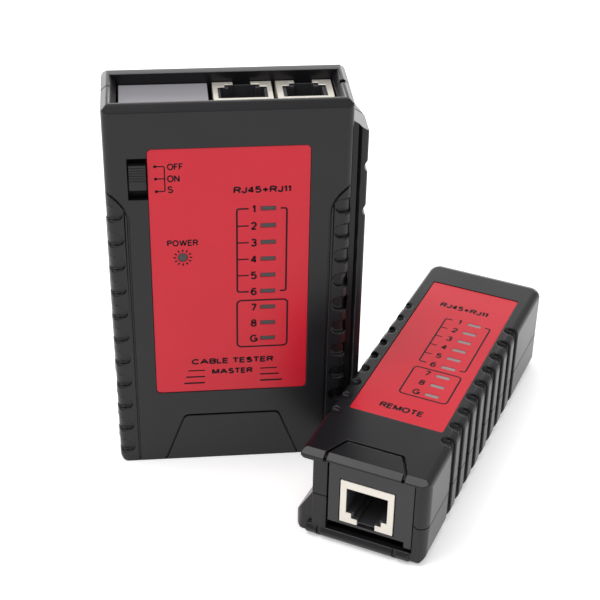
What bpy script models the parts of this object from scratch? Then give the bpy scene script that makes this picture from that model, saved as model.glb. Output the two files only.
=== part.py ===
"""Network cable tester: an upright master unit and the remote unit that lies beside it.

Every length in this file is in millimetres; objects are built in metres.
Master frame: X to the right, Y from the printed face to the back, Z up, origin at the middle of the
lower front edge. Remote frame: X across the jack end, Y along the case, Z up, origin at the lower left
corner of the jack end. The whole arrangement is centred over the world origin at the end.
"""
import math

import bmesh
import bpy
from mathutils import Matrix, Vector

MM = 0.001
GAP = 0.3                       # clearance between pieces that meet
WALL = 2.0                      # thickness of the moulded walls
THROUGH = 1.0                   # how far a cutter runs past the surface it cuts

# ---- master case ----
MASTER_W, MASTER_D, MASTER_H = 66.3, 25.6, 116.5
MASTER_SPLIT = 13.2             # Y of the joint between front and rear shells
FRONT_EDGE_R = 2.0
REAR_EDGE_R = 3.0
FOOT_R = 2.4
TOP_FRONT_CHAMFER = 1.8
TOP_SIDE_CHAMFER = 1.5
TOP_REAR_CHAMFER = 2.6
RECESS_Z = 111.7                # floor level of the rims round the top recess
RECESS_HALF_W = 29.2
RECESS_Y = (3.3, 20.0)
PANEL_TOP = 113.5               # level of the blank plate in the recess
LEDGE_Z = 110.2
LEDGE_Y = 6.3

# ---- dock rail on the master's right side ----
RAIL_OUT = 4.5
RAIL_FRONT_Y = 3.0
RAIL_GROOVE_Y = 4.1
RAIL_TIP_REAR_Y = 12.8
RAIL_ROOT_REAR_Y = 22.8
RAIL_BOTTOM = 9.0
RAIL_TOP = 108.9
RAIL_RAMP = 0.65                # fall of the rail's top end for each millimetre outwards
RAIL_NOTCH_Z = (95.3, 81.6)
RAIL_NOTCH_R = 2.0
RAIL_NOTCH_DEPTH = 0.9

# ---- grip channels ----
CHANNEL_H = 4.0
CHANNEL_DEPTH = 1.3
CHANNEL_COUNT = 11
CHANNEL_PITCH = 7.92
CHANNEL_TOP_Z = 84.9            # centre of the highest channel
CHANNEL_TIP_X = 28.6            # inner end of a channel on the face

# ---- engraved lines on the face ----
LINE_W, LINE_DEPTH = 0.6, 0.45

# ---- label ----
LABEL_X = (-21.65, 21.7)
LABEL_Z = (24.75, 103.95)
LABEL_T = 0.3
LABEL_POCKET = 0.6
LABEL_R = 1.3
WINDOW_W, WINDOW_H = 4.15, 1.1
LED_X = 10.45
LED_TOP_Z = 85.15
LED_PITCH = 5.32
LED_NAMES = ("1", "2", "3", "4", "5", "6", "7", "8", "g")
POWER_LED = (-13.0, 70.5)
POWER_LED_R = 1.2

# ---- switch ----
SWITCH_X = (-27.0, -21.6)
SWITCH_Z = (89.1, 101.4)
KNOB_X = (-26.65, -22.1)
KNOB_Z = (92.2, 99.8)
KNOB_PROUD = 0.7
KNOB_RIDGES = 4

# ---- inside the master ----
PCB_W = 59.6
PCB_Y = (5.6, 7.2)
PCB_Z = (38.5, 109.0)
POST_X = 27.6
POST_Z = (37.8, 82.0)
POST_R = 3.8
POST_HOLE_R = 1.4               # clear hole for a case screw in the front post
REAR_HOLE_R = 1.5
SCREW_HEAD_HOLE_R = 2.8
DRIVE_DEPTH = 0.7               # depth of a screw's cross recess
SCREW_SEAT = 22.6               # Y of the step that a case screw's head pulls on
BOARD_SCREWS = ((-15.0, 50.0), (-15.0, 106.0))
STANDOFF_R = 2.2
STANDOFF_HOLE_R = 0.9
BAY_TOP = 32.2                  # underside of the shelf over the battery
SHELF_FRONT_Y = 8.2
SHELF_T = 2.2
BATTERY_X = (-26.5, 19.9)
TERMINAL_OUT = 2.1
TERMINAL_STEP = 6.35            # from the battery's middle to each terminal
BATTERY_Y = (5.9, 23.2)
BATTERY_Z = (4.9, 31.1)
LEAD_R = 0.65
DOOR_X = 28.0
DOOR_Z = (4.6, 32.4)            # hinge axis height and top edge
DOOR_T = 2.0
DOOR_PIN_R = 0.6
DOOR_PIN_L = 1.0

# ---- jacks ----
JACK_TOP = 113.7
JACK_DROP = 15.5
SHEET = 0.4                     # thickness of a jack's sheet-metal shield
RJ45_X = (-3.5, 12.5)
RJ11_X = (13.6, 28.8)
JACK_Y = (7.6, 19.6)
RJ45_WINDOW = 13.2
RJ11_WINDOW = 11.7
RJ45_PLUG = 11.8
RJ11_PLUG = 9.7
WINDOW_START_Y = 9.7            # contact side of the plug openings
WINDOW_BODY_Y = 16.5            # where the wide part of an opening ends
WINDOW_STEP_Y = 18.0            # where the latch slot narrows again
PLUG_DEPTH = 12.5
CONTACT_PITCH = 1.02

# ---- remote ----
REMOTE_PLACE = (20.0, -36.3)    # its origin, seen from the master's origin
REMOTE_TURN = math.radians(-29.31)
REMOTE_W, REMOTE_L, REMOTE_H = 33.7, 108.5, 29.4
REMOTE_SPLIT = 15.3
REMOTE_TOP_R = 2.5
REMOTE_FOOT_R = 4.5
REMOTE_END_R = 3.0
REMOTE_FRONT_BEVEL = (2.1, 1.4) # along Y and along Z
REMOTE_FAR_TOP_R = 4.0
REMOTE_FAR_R = 4.5
REMOTE_LINE_DEPTH = 1.2
LIP_OUT, LIP_T = 3.8, 2.8
LIP_TAPER = 0.3                 # share of its reach that the lip loses by the far end
FLANGE_OUT = 5.5
FLANGE_TAPER = 0.22
FLANGE_START = 1.1
REMOTE_LABEL_X = (1.2, 29.0)
REMOTE_LABEL_Y = (23.2, 95.9)
REMOTE_LED_X = 20.6
REMOTE_LED_FAR = 77.4
REMOTE_LED_PITCH = 4.91
REMOTE_CHANNELS = 9
REMOTE_CHANNEL_PITCH = 7.34
REMOTE_CHANNEL_NEAR = 20.2
REMOTE_CHANNEL_TIP = 30.0
REMOTE_CHANNEL_H = 3.6
END_PANEL_X = (4.6, 29.4)
END_PANEL_Z = (6.4, 27.35)
END_PANEL_Y = (0.4, 1.9)
END_GAP_Z = 4.6
REMOTE_JACK_X = (8.2, 23.9)
REMOTE_JACK_Z = (8.0, 22.6)
REMOTE_PCB_Z = (23.4, 25.0)
REMOTE_POST = ((16.85, 24.8), (16.85, 100.5))
REMOTE_POST_R = 3.0

# ---- lights ----
BAR_L, BAR_H = 4.5, 1.5         # lens head of a bar light, behind its window
BAR_BASE = 0.4                  # how far its base stands out all round
LENS_SUNK = 0.1
SHOULDER = 2.4                  # depth of a bar light's shoulder below the face

SIDES = 16                      # flats on a small round piece


# ---------------------------------------------------------------- materials

def make_material(name, colour, roughness, metallic=0.0):
    material = bpy.data.materials.new(name)
    material.use_nodes = True
    shader = material.node_tree.nodes["Principled BSDF"]
    shader.inputs["Base Color"].default_value = (*colour, 1.0)
    shader.inputs["Roughness"].default_value = roughness
    shader.inputs["Metallic"].default_value = metallic
    return material


def make_materials():
    return {
        "case_black": make_material("case_black", (0.030, 0.029, 0.032), 0.42),
        "panel_black": make_material("panel_black", (0.028, 0.027, 0.030), 0.35),
        "plate_grey": make_material("plate_grey", (0.25, 0.24, 0.26), 0.30),
        "label_red": make_material("label_red", (0.62, 0.020, 0.035), 0.38),
        "lens_grey": make_material("lens_grey", (0.20, 0.19, 0.18), 0.30),
        "nickel": make_material("nickel", (0.80, 0.77, 0.70), 0.28, 1.0),
        "gold": make_material("gold", (0.83, 0.60, 0.22), 0.25, 1.0),
        "insert_black": make_material("insert_black", (0.020, 0.020, 0.022), 0.50),
        "board_green": make_material("board_green", (0.02, 0.18, 0.07), 0.45),
        "steel": make_material("steel", (0.56, 0.56, 0.57), 0.35, 1.0),
        "battery_wrap": make_material("battery_wrap", (0.05, 0.09, 0.30), 0.40),
        "lead_red": make_material("lead_red", (0.60, 0.02, 0.02), 0.50),
        "lead_black": make_material("lead_black", (0.02, 0.02, 0.02), 0.50),
    }


# ---------------------------------------------------------------- outlines

def arc(centre, radius, start, end, steps):
    """Points on an arc, angles in degrees, both ends included."""
    points = []
    for i in range(steps + 1):
        angle = math.radians(start + (end - start) * i / steps)
        points.append((centre[0] + radius * math.cos(angle), centre[1] + radius * math.sin(angle)))
    return points


def rounded_rectangle(low, high, radius, steps=3):
    (x0, y0), (x1, y1) = low, high
    return (arc((x1 - radius, y0 + radius), radius, -90, 0, steps)
            + arc((x1 - radius, y1 - radius), radius, 0, 90, steps)
            + arc((x0 + radius, y1 - radius), radius, 90, 180, steps)
            + arc((x0 + radius, y0 + radius), radius, 180, 270, steps))


def circle(centre, radius, sides=SIDES):
    return arc(centre, radius, 0, 360 * (sides - 1) / sides, sides - 1)


def ribbon(points, width):
    """Outline of a stripe of even width along an open line of points."""
    left, right = [], []
    for i, point in enumerate(points):
        here = Vector(point)
        before = (here - Vector(points[i - 1])).normalized() if i > 0 else None
        after = (Vector(points[i + 1]) - here).normalized() if i < len(points) - 1 else None
        along = (before or after) + (after or before)
        along.normalize()
        side = Vector((-along.y, along.x))
        stretch = 1.0 / side.dot(Vector((-(after or before).y, (after or before).x)))
        offset = side * (width / 2 * stretch)
        left.append(tuple(here + offset))
        right.append(tuple(here - offset))
    return left + right[::-1]


# ---------------------------------------------------------------- solids

AXIS_ORDER = {"x": (1, 2, 0), "y": (0, 2, 1), "z": (0, 1, 2)}


def place(point, height, axis):
    """Put an outline point (first free axis, second free axis) and a height into 3-D."""
    first, second, along = AXIS_ORDER[axis]
    out = [0.0, 0.0, 0.0]
    out[first], out[second], out[along] = point[0] * MM, point[1] * MM, height * MM
    return Vector(out)


def prism(outline, axis, low, high):
    """Mesh of an outline extruded along an axis."""
    bm = bmesh.new()
    lower = [bm.verts.new(place(p, low, axis)) for p in outline]
    upper = [bm.verts.new(place(p, high, axis)) for p in outline]
    count = len(outline)
    bm.faces.new(lower)
    bm.faces.new(upper)
    for i in range(count):
        j = (i + 1) % count
        bm.faces.new((lower[i], lower[j], upper[j], upper[i]))
    bmesh.ops.recalc_face_normals(bm, faces=bm.faces)
    return bm


def block(low, high):
    (x0, y0, z0), (x1, y1, z1) = low, high
    return prism([(x0, y0), (x1, y0), (x1, y1), (x0, y1)], "z", z0, z1)


def rod(centre, radius, axis, low, high, sides=SIDES):
    return prism(circle(centre, radius, sides), axis, low, high)


def slice_off(bm, point, normal):
    """Cut away what lies beyond a plane and close the cut."""
    geometry = bm.verts[:] + bm.edges[:] + bm.faces[:]
    result = bmesh.ops.bisect_plane(
        bm, geom=geometry, dist=1e-7, plane_co=Vector(point) * MM,
        plane_no=Vector(normal), clear_outer=True)
    cut = [item for item in result["geom_cut"] if isinstance(item, bmesh.types.BMEdge)]
    if cut:
        bmesh.ops.edgeloop_fill(bm, edges=cut)
        bmesh.ops.recalc_face_normals(bm, faces=bm.faces)


def round_edge(bm, corner, first, second, radius, steps=2):
    """Round an edge of a convex solid with flats; first and second are its faces' outward normals."""
    first, second = Vector(first), Vector(second)
    centre = Vector(corner) - radius * (first + second)
    for i in range(steps):
        angle = math.pi / 2 * (i + 0.5) / steps
        normal = first * math.cos(angle) + second * math.sin(angle)
        slice_off(bm, centre + normal * radius, normal)


def merge(meshes):
    """One mesh that holds several separate solids, for use as a cutter."""
    bm = bmesh.new()
    for other in meshes:
        mesh = bpy.data.meshes.new("solid")
        other.to_mesh(mesh)
        other.free()
        bm.from_mesh(mesh)
        bpy.data.meshes.remove(mesh)
    return bm


# ---------------------------------------------------------------- objects

def make_object(name, bm, material, parent):
    mesh = bpy.data.meshes.new(name)
    bm.to_mesh(mesh)
    bm.free()
    if material:
        mesh.materials.append(material)
    thing = bpy.data.objects.new(name, mesh)
    bpy.context.scene.collection.objects.link(thing)
    thing.parent = parent
    return thing


def combine(thing, bm, operation="DIFFERENCE"):
    """Cut a solid from an object, or join it on, with a Boolean modifier."""
    tool = make_object(f"{thing.name}_tool_{len(thing.modifiers)}", bm, None, thing.parent)
    tool.hide_render = True
    tool.hide_set(True)
    tool.display_type = "WIRE"
    modifier = thing.modifiers.new(f"{operation.lower()}_{len(thing.modifiers)}", "BOOLEAN")
    modifier.operation = operation
    modifier.solver = "EXACT"
    modifier.object = tool
    return thing


def join(thing, bm):
    return combine(thing, bm, "UNION")


def smooth(thing, degrees=35):
    thing.data.shade_smooth()
    thing.data.set_sharp_from_angle(angle=math.radians(degrees))


def empty(name, location, parent=None, turn=0.0):
    thing = bpy.data.objects.new(name, None)
    thing.empty_display_size = 0.01
    thing.location = Vector(location) * MM
    thing.rotation_euler = (0.0, 0.0, turn)
    thing.parent = parent
    bpy.context.scene.collection.objects.link(thing)
    return thing


# ---------------------------------------------------------------- master shells

def channel_heights():
    return [CHANNEL_TOP_Z - i * CHANNEL_PITCH for i in range(CHANNEL_COUNT)]


def face_channels(side):
    """Round-ended cuts on the printed face, open towards the case's edge."""
    cuts = []
    radius = CHANNEL_H / 2
    for z in channel_heights():
        centre = (side * (CHANNEL_TIP_X + radius), z)
        angles = (90, 270) if side > 0 else (270, 450)
        edge = side * (MASTER_W / 2 + THROUGH)
        outline = arc(centre, radius, *angles, 4)
        outline += [(edge, outline[-1][1]), (edge, outline[0][1])]
        cuts.append(prism(outline, "y", -THROUGH, CHANNEL_DEPTH))
    return merge(cuts)


def grip_border(side):
    """Engraved line that frames the grip channels on the face."""
    edge = MASTER_W / 2 + THROUGH
    points = [(edge, 92.9), (29.2, 88.0), (27.9, 86.4), (27.3, 84.2), (27.4, -THROUGH)]
    return [(side * x, z) for x, z in points]


def foot_pad_line():
    half = [(20.2, -THROUGH), (14.4, 14.9), (13.9, 15.8), (12.9, 16.2)]
    return [(-x, z) for x, z in half] + half[::-1]


def rail_profile():
    """Plan of the dock rail: a groove near the case, a bulged tip and a sloping rear face."""
    root, tip = MASTER_W / 2 - 1.0, MASTER_W / 2 + RAIL_OUT
    slope = (RAIL_ROOT_REAR_Y - RAIL_TIP_REAR_Y) / RAIL_OUT
    return [(root, RAIL_GROOVE_Y), (tip - 2.7, RAIL_GROOVE_Y), (tip - 1.9, RAIL_FRONT_Y),
            (tip - 0.5, RAIL_FRONT_Y), (tip, RAIL_FRONT_Y + 0.5), (tip, RAIL_TIP_REAR_Y),
            (root, RAIL_ROOT_REAR_Y + slope * 1.0)]


def rail(front, rear):
    """The part of the dock rail between two depths, with its sloping top end."""
    bm = prism(rail_profile(), "z", RAIL_BOTTOM, RAIL_TOP + 1.0)
    slice_off(bm, (0, front, 0), (0, -1, 0))
    slice_off(bm, (0, rear, 0), (0, 1, 0))
    slice_off(bm, (MASTER_W / 2, 0, RAIL_TOP), (RAIL_RAMP, 0, 1))
    slice_off(bm, (MASTER_W / 2 + RAIL_OUT, 0, RAIL_BOTTOM + 1.5), (0.7, 0, -1))
    return bm


def rail_notches():
    reach = MASTER_W / 2 + RAIL_OUT + RAIL_NOTCH_R - RAIL_NOTCH_DEPTH
    rods = [rod((reach, z), RAIL_NOTCH_R, "y", 0, MASTER_D, 12) for z in RAIL_NOTCH_Z]
    return merge(rods)


def shell_blank(front, rear):
    """Half of the case as a solid block with the outer edges worked."""
    half = MASTER_W / 2
    bm = block((-half, front, 0), (half, rear, MASTER_H))
    for side in (-1, 1):
        outward = (side, 0, 0)
        slice_off(bm, (side * (half - TOP_SIDE_CHAMFER), 0, MASTER_H), (side, 0, 1))
        round_edge(bm, (side * half, 0, 0), outward, (0, 0, -1), FOOT_R)
        round_edge(bm, (side * half, 0, 0), outward, (0, -1, 0), FRONT_EDGE_R, 3)
        round_edge(bm, (side * half, MASTER_D, 0), outward, (0, 1, 0), REAR_EDGE_R, 2)
    slice_off(bm, (0, 0, MASTER_H - TOP_FRONT_CHAMFER), (0, -1, 1))
    slice_off(bm, (0, MASTER_D, MASTER_H - TOP_REAR_CHAMFER), (0, 1, 1))
    return bm


def label_pocket():
    low = (LABEL_X[0] - GAP, LABEL_Z[0] - GAP)
    high = (LABEL_X[1] + GAP, LABEL_Z[1] + GAP)
    return prism(rounded_rectangle(low, high, LABEL_R + GAP), "y", -THROUGH, LABEL_POCKET)


def post_spots():
    return [(x, z) for z in reversed(POST_Z) for x in (-POST_X, POST_X)]


def led_heights():
    return [LED_TOP_Z - i * LED_PITCH for i in range(len(LED_NAMES))]


def front_openings():
    """Light slots, the power light's hole and the switch window, through the face wall."""
    deep = WALL + THROUGH
    cuts = [block((LED_X - 2.6, 0, z - 1.1), (LED_X + 2.6, deep, z + 1.1)) for z in led_heights()]
    cuts.append(rod(POWER_LED, 1.9, "y", 0, deep))
    cuts.append(block((SWITCH_X[0], -THROUGH, SWITCH_Z[0]), (SWITCH_X[1], deep, SWITCH_Z[1])))
    return merge(cuts)


def make_front_shell(material, parent):
    inner = MASTER_W / 2 - WALL
    rear = MASTER_SPLIT - GAP / 2
    past = rear + THROUGH
    shell = make_object("master_front_shell", shell_blank(0, rear), material, parent)
    join(shell, rail(RAIL_FRONT_Y - THROUGH, rear))
    combine(shell, block((-inner, WALL, WALL), (inner, past, LEDGE_Z)))
    combine(shell, block((-RECESS_HALF_W, LEDGE_Y, LEDGE_Z - THROUGH),
                         (RECESS_HALF_W, past, MASTER_H + THROUGH)))
    combine(shell, block((-RECESS_HALF_W, RECESS_Y[0], RECESS_Z),
                         (RECESS_HALF_W, past, MASTER_H + THROUGH)))
    for spot in post_spots():
        join(shell, rod(spot, POST_R, "y", WALL / 2, rear))
    combine(shell, merge([rod(spot, POST_HOLE_R, "y", 5.0, past, 8) for spot in post_spots()]))
    join(shell, merge([rod(spot, STANDOFF_R, "y", WALL / 2, PCB_Y[0] - GAP, 10)
                       for spot in BOARD_SCREWS]))
    combine(shell, merge([rod(spot, STANDOFF_HOLE_R, "y", WALL + 0.4, PCB_Y[0] + THROUGH, 8)
                          for spot in BOARD_SCREWS]))
    combine(shell, label_pocket())
    combine(shell, front_openings())
    for side in (-1, 1):
        combine(shell, face_channels(side))
    for side in (-1, 1):
        combine(shell, prism(ribbon(grip_border(side), LINE_W), "y", -THROUGH, LINE_DEPTH))
    combine(shell, prism(ribbon(foot_pad_line(), LINE_W), "y", -THROUGH, LINE_DEPTH))
    combine(shell, rail_notches())
    return shell


def door_opening():
    """Window for the battery door, with a hole for its hinge pin at each side."""
    edge = DOOR_X + GAP
    axis_y = MASTER_D - DOOR_T / 2
    low = DOOR_Z[0] - DOOR_T / 2 - GAP
    window = block((-edge, MASTER_D - WALL - THROUGH, low), (edge, MASTER_D + THROUGH, DOOR_Z[1] + GAP))
    return window, rod((axis_y, DOOR_Z[0]), DOOR_PIN_R + 0.35, "x", -edge - 1.1, edge + 1.1, 8)


def make_rear_shell(material, parent):
    inner = MASTER_W / 2 - WALL
    front = MASTER_SPLIT + GAP / 2
    before = front - THROUGH
    back = MASTER_D - WALL
    shell = make_object("master_rear_shell", shell_blank(front, MASTER_D), material, parent)
    join(shell, rail(front, MASTER_D))
    combine(shell, block((-inner, before, WALL), (inner, back, RECESS_Z - THROUGH)))
    combine(shell, block((-RECESS_HALF_W, before, RECESS_Z - 2 * THROUGH),
                         (RECESS_HALF_W, RECESS_Y[1], MASTER_H + THROUGH)))
    reach = inner + WALL / 4
    join(shell, block((-reach, SHELF_FRONT_Y, BAY_TOP), (reach, back + WALL / 4, BAY_TOP + SHELF_T)))
    ends = [sorted((side * (inner - GAP), side * (inner + THROUGH))) for side in (-1, 1)]
    combine(shell, merge([block((low, SHELF_FRONT_Y - THROUGH, BAY_TOP - THROUGH),
                                (high, front, BAY_TOP + SHELF_T + THROUGH)) for low, high in ends]))
    for spot in post_spots():
        join(shell, rod(spot, POST_R, "y", front, back + WALL / 4))
        combine(shell, rod(spot, POST_R + GAP, "y", SHELF_FRONT_Y - THROUGH, front))
    window, pin_holes = door_opening()
    combine(shell, window)
    combine(shell, pin_holes)
    past = MASTER_D + THROUGH
    combine(shell, merge([rod(spot, REAR_HOLE_R, "y", before, past, 8) for spot in post_spots()]))
    combine(shell, merge([rod(spot, SCREW_HEAD_HOLE_R, "y", SCREW_SEAT, past, 12) for spot in post_spots()]))
    combine(shell, rail_notches())
    return shell


# ---------------------------------------------------------------- master trim

def make_label(name, material, parent, low, high, axis, depths, windows, hole=None):
    """Printed face label with an opening over each light."""
    sheet = prism(rounded_rectangle(low, high, LABEL_R), axis, *depths)
    label = make_object(name, sheet, material, parent)
    past = (depths[0] - THROUGH, depths[1] + THROUGH)
    cuts = []
    for x, other in windows:
        corner = (x - WINDOW_W / 2, other - WINDOW_H / 2)
        far = (x + WINDOW_W / 2, other + WINDOW_H / 2)
        outline = [corner, (far[0], corner[1]), far, (corner[0], far[1])]
        cuts.append(prism(outline, axis, *past))
    if hole:
        cuts.append(rod(hole, POWER_LED_R, axis, *past, 16))
    combine(label, merge(cuts))
    return label


def make_end_plate(material, parent):
    low = (-RECESS_HALF_W + 0.6, RECESS_Y[0] + 0.5, RECESS_Z + GAP)
    return make_object("master_end_panel", block(low, (RJ45_X[0] - 1.3, RECESS_Y[1] - GAP, PANEL_TOP)),
                       material, parent)


def make_bar_led(name, material, parent, spot, levels, up):
    """Bar-shaped light: a lens head on a wider base, at (tip, shoulder, seat) levels along one axis."""
    tip, shoulder, seat = levels

    def solid(grow, start):
        half_l, half_h = BAR_L / 2 + grow, BAR_H / 2 + grow
        outline = [(spot[0] - half_l, spot[1] - half_h), (spot[0] + half_l, spot[1] - half_h),
                   (spot[0] + half_l, spot[1] + half_h), (spot[0] - half_l, spot[1] + half_h)]
        return prism(outline, up, *sorted((start, seat)))

    led = make_object(name, solid(0.0, tip), material, parent)
    join(led, solid(BAR_BASE, shoulder))
    return led


def make_master_lights(material, parent):
    tip, seat = LABEL_T + GAP, PCB_Y[0] - GAP
    levels = (tip + LENS_SUNK, SHOULDER, seat)
    for label, z in zip(LED_NAMES, led_heights()):
        make_bar_led(f"master_led_{label}", material, parent, (LED_X, z), levels, "y")
    led = make_object("power_led", rod(POWER_LED, 1.5, "y", tip, seat), material, parent)
    join(led, rod(POWER_LED, 1.9, "y", 3.6, seat))
    smooth(led)


def make_switch(knob_material, frame_material, parent):
    """Slide switch: a frame on the board and a ridged knob in the face's window."""
    low = (SWITCH_X[0] - 0.4, WALL + 0.4, SWITCH_Z[0] - 1.5)
    high = (SWITCH_X[1] + 0.2, PCB_Y[0] - GAP, SWITCH_Z[1] + 1.6)
    frame = make_object("switch_frame", block(low, high), frame_material, parent)
    middle_x, middle_z = sum(KNOB_X) / 2, sum(KNOB_Z) / 2
    combine(frame, block((middle_x - 1.4, 1.0, middle_z - 4.6), (middle_x + 1.4, 4.2, middle_z + 1.8)))
    track = empty("switch_track", (middle_x, 0, middle_z), parent)
    half_w, half_h = (KNOB_X[1] - KNOB_X[0]) / 2, (KNOB_Z[1] - KNOB_Z[0]) / 2
    cap = block((-half_w, -KNOB_PROUD, -half_h), (half_w, WALL - 0.2, half_h))
    knob = make_object("switch_knob", cap, knob_material, track)
    join(knob, block((-1.1, 1.0, -1.4), (1.1, 3.9, 1.4)))
    for i in range(KNOB_RIDGES):
        z = half_h - 1.1 - i * 1.25
        combine(knob, block((-half_w - THROUGH, -KNOB_PROUD - THROUGH, z - 0.25),
                            (half_w + THROUGH, -KNOB_PROUD + 0.35, z + 0.25)))


# ---------------------------------------------------------------- jacks

def plug_opening(middle, width, start, step, steps_in, latch_end):
    """Outline of a plug's opening: a wide part and a latch slot that narrows in two steps."""
    half = width / 2
    body_end, mid_end = step
    mid_half, latch_half = half - steps_in[0], half - steps_in[1]
    return [(middle - half, start), (middle + half, start), (middle + half, body_end),
            (middle + mid_half, body_end), (middle + mid_half, mid_end), (middle + latch_half, mid_end),
            (middle + latch_half, latch_end), (middle - latch_half, latch_end),
            (middle - latch_half, mid_end), (middle - mid_half, mid_end),
            (middle - mid_half, body_end), (middle - half, body_end)]


def jack_parts(prefix, materials, parent, span, depth, mouth, drop, axis, window, plug, contacts):
    """Shield, insert and contact comb of one jack.

    span: the two sides across the jack. depth: the contact side and the latch side.
    mouth: where the jack's face is, and drop: how far it runs inwards (signed).
    window and plug: outlines of the shield's opening and of the insert's.
    """
    tail = mouth + drop
    low, high = sorted((mouth, tail))
    shell = [(span[0], depth[0]), (span[1], depth[0]), (span[1], depth[1]), (span[0], depth[1])]
    inset_x = (span[0] + SHEET, span[1] - SHEET)
    inset_d = (min(depth) + SHEET, max(depth) - SHEET)
    inward = 1 if drop > 0 else -1
    shield = make_object(f"{prefix}_shield", prism(shell, axis, low, high), materials["nickel"], parent)
    hollow = [(inset_x[0], inset_d[0]), (inset_x[1], inset_d[0]),
              (inset_x[1], inset_d[1]), (inset_x[0], inset_d[1])]
    start, end = sorted((mouth + inward * SHEET, tail + inward * THROUGH))
    combine(shield, prism(hollow, axis, start, end))
    start, end = sorted((mouth - inward * THROUGH, mouth + inward * (SHEET + THROUGH)))
    combine(shield, prism(window, axis, start, end))

    room = GAP / 2 + 0.05
    body = [(inset_x[0] + room, inset_d[0] + room), (inset_x[1] - room, inset_d[0] + room),
            (inset_x[1] - room, inset_d[1] - room), (inset_x[0] + room, inset_d[1] - room)]
    face = mouth + inward * (SHEET + room)
    start, end = sorted((face, tail - inward * GAP))
    insert = make_object(f"{prefix}_insert", prism(body, axis, start, end), materials["insert_black"], parent)
    floor = mouth + inward * PLUG_DEPTH
    start, end = sorted((face - inward * THROUGH, floor))
    combine(insert, prism(plug, axis, start, end))
    contact_comb(f"{prefix}_contacts", materials["gold"], parent, contacts, depth, floor, inward, axis)


def contact_comb(name, material, parent, contacts, depth, floor, inward, axis):
    """Spring contacts: a sheet of fingers on a bar, leaning in from the contact side."""
    middle, count, contact_side = contacts
    thickness, width, bar_rise, tip_rise = 0.3, 0.45, 1.0, 8.5
    lean = 1 if depth[1] > depth[0] else -1
    bar_half = CONTACT_PITCH * (count - 1) / 2 + width
    outline = [(middle - bar_half, 0.0), (middle + bar_half, 0.0), (middle + bar_half, bar_rise)]
    for i in reversed(range(count)):
        x = middle + (i - (count - 1) / 2) * CONTACT_PITCH
        outline += [(x + width / 2, bar_rise), (x + width / 2, tip_rise),
                    (x - width / 2, tip_rise), (x - width / 2, bar_rise)]
    outline.append((middle - bar_half, bar_rise))
    sides = []
    bm = bmesh.new()
    for offset in (0.0, thickness):
        sides.append([bm.verts.new(place((x, contact_side + lean * (0.12 * rise + offset)),
                                         floor - inward * (0.35 + rise), axis)) for x, rise in outline])
        bm.faces.new(sides[-1])
    total = len(outline)
    for i in range(total):
        j = (i + 1) % total
        bm.faces.new((sides[0][i], sides[0][j], sides[1][j], sides[1][i]))
    bmesh.ops.recalc_face_normals(bm, faces=bm.faces)
    return make_object(name, bm, material, parent)


def make_master_jacks(materials, parent):
    front, rear = JACK_Y
    for prefix, span, window_w, plug_w, ways, slots in (
            ("master_rj45", RJ45_X, RJ45_WINDOW, RJ45_PLUG, 8, (4.2, 3.4)),
            ("master_rj11", RJ11_X, RJ11_WINDOW, RJ11_PLUG, 6, (3.4, 2.6))):
        middle = sum(span) / 2
        window = plug_opening(middle, window_w, WINDOW_START_Y, (WINDOW_BODY_Y, WINDOW_STEP_Y),
                              (1.9, slots[0]), rear + THROUGH)
        plug = plug_opening(middle, plug_w, WINDOW_START_Y + GAP, (WINDOW_BODY_Y + 0.2, WINDOW_STEP_Y),
                            (2.2, slots[1]), rear - 0.9)
        jack_parts(prefix, materials, parent, span, (front, rear), JACK_TOP, -JACK_DROP, "z",
                   window, plug, (middle, ways, WINDOW_START_Y + 0.65))


# ---------------------------------------------------------------- inside the master

def make_board(material, parent):
    half, before, past = PCB_W / 2, PCB_Y[0] - THROUGH, PCB_Y[1] + THROUGH
    sheet = block((-half, PCB_Y[0], PCB_Z[0]), (half, PCB_Y[1], PCB_Z[1]))
    board = make_object("master_pcb", sheet, material, parent)
    combine(board, merge([rod(spot, POST_R + 0.4, "y", before, past, 12) for spot in post_spots()]))
    combine(board, merge([rod(spot, 1.1, "y", before, past, 10) for spot in BOARD_SCREWS]))


def screw(name, material, parent, spot, axis, head, shank):
    """Pan-head screw with a cross recess; head is (radius, seat, top) and shank (radius, tip, end)."""
    inward = 1 if head[1] > head[2] else -1
    thing = make_object(name, rod(spot, head[0], axis, *sorted(head[1:]), 12), material, parent)
    join(thing, rod(spot, shank[0], axis, *sorted(shank[1:]), 8))
    levels = sorted((head[2] - inward * THROUGH, head[2] + inward * DRIVE_DEPTH))
    for half_a, half_b in ((1.3, 0.25), (0.25, 1.3)):
        outline = [(spot[0] - half_a, spot[1] - half_b), (spot[0] + half_a, spot[1] - half_b),
                   (spot[0] + half_a, spot[1] + half_b), (spot[0] - half_a, spot[1] + half_b)]
        combine(thing, prism(outline, axis, *levels))
    smooth(thing)
    return thing


def make_fasteners(material, parent):
    for number, spot in enumerate(post_spots(), 1):
        screw(f"case_screw_{number}", material, parent, spot, "y",
              (2.4, SCREW_SEAT + GAP, 24.9), (1.1, 7.0, SCREW_SEAT + 0.6))
    back = PCB_Y[1]
    for number, spot in enumerate(BOARD_SCREWS, 1):
        screw(f"board_screw_{number}", material, parent, spot, "y",
              (2.0, back + GAP, back + 1.7), (0.6, 3.0, back + 0.6))


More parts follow.
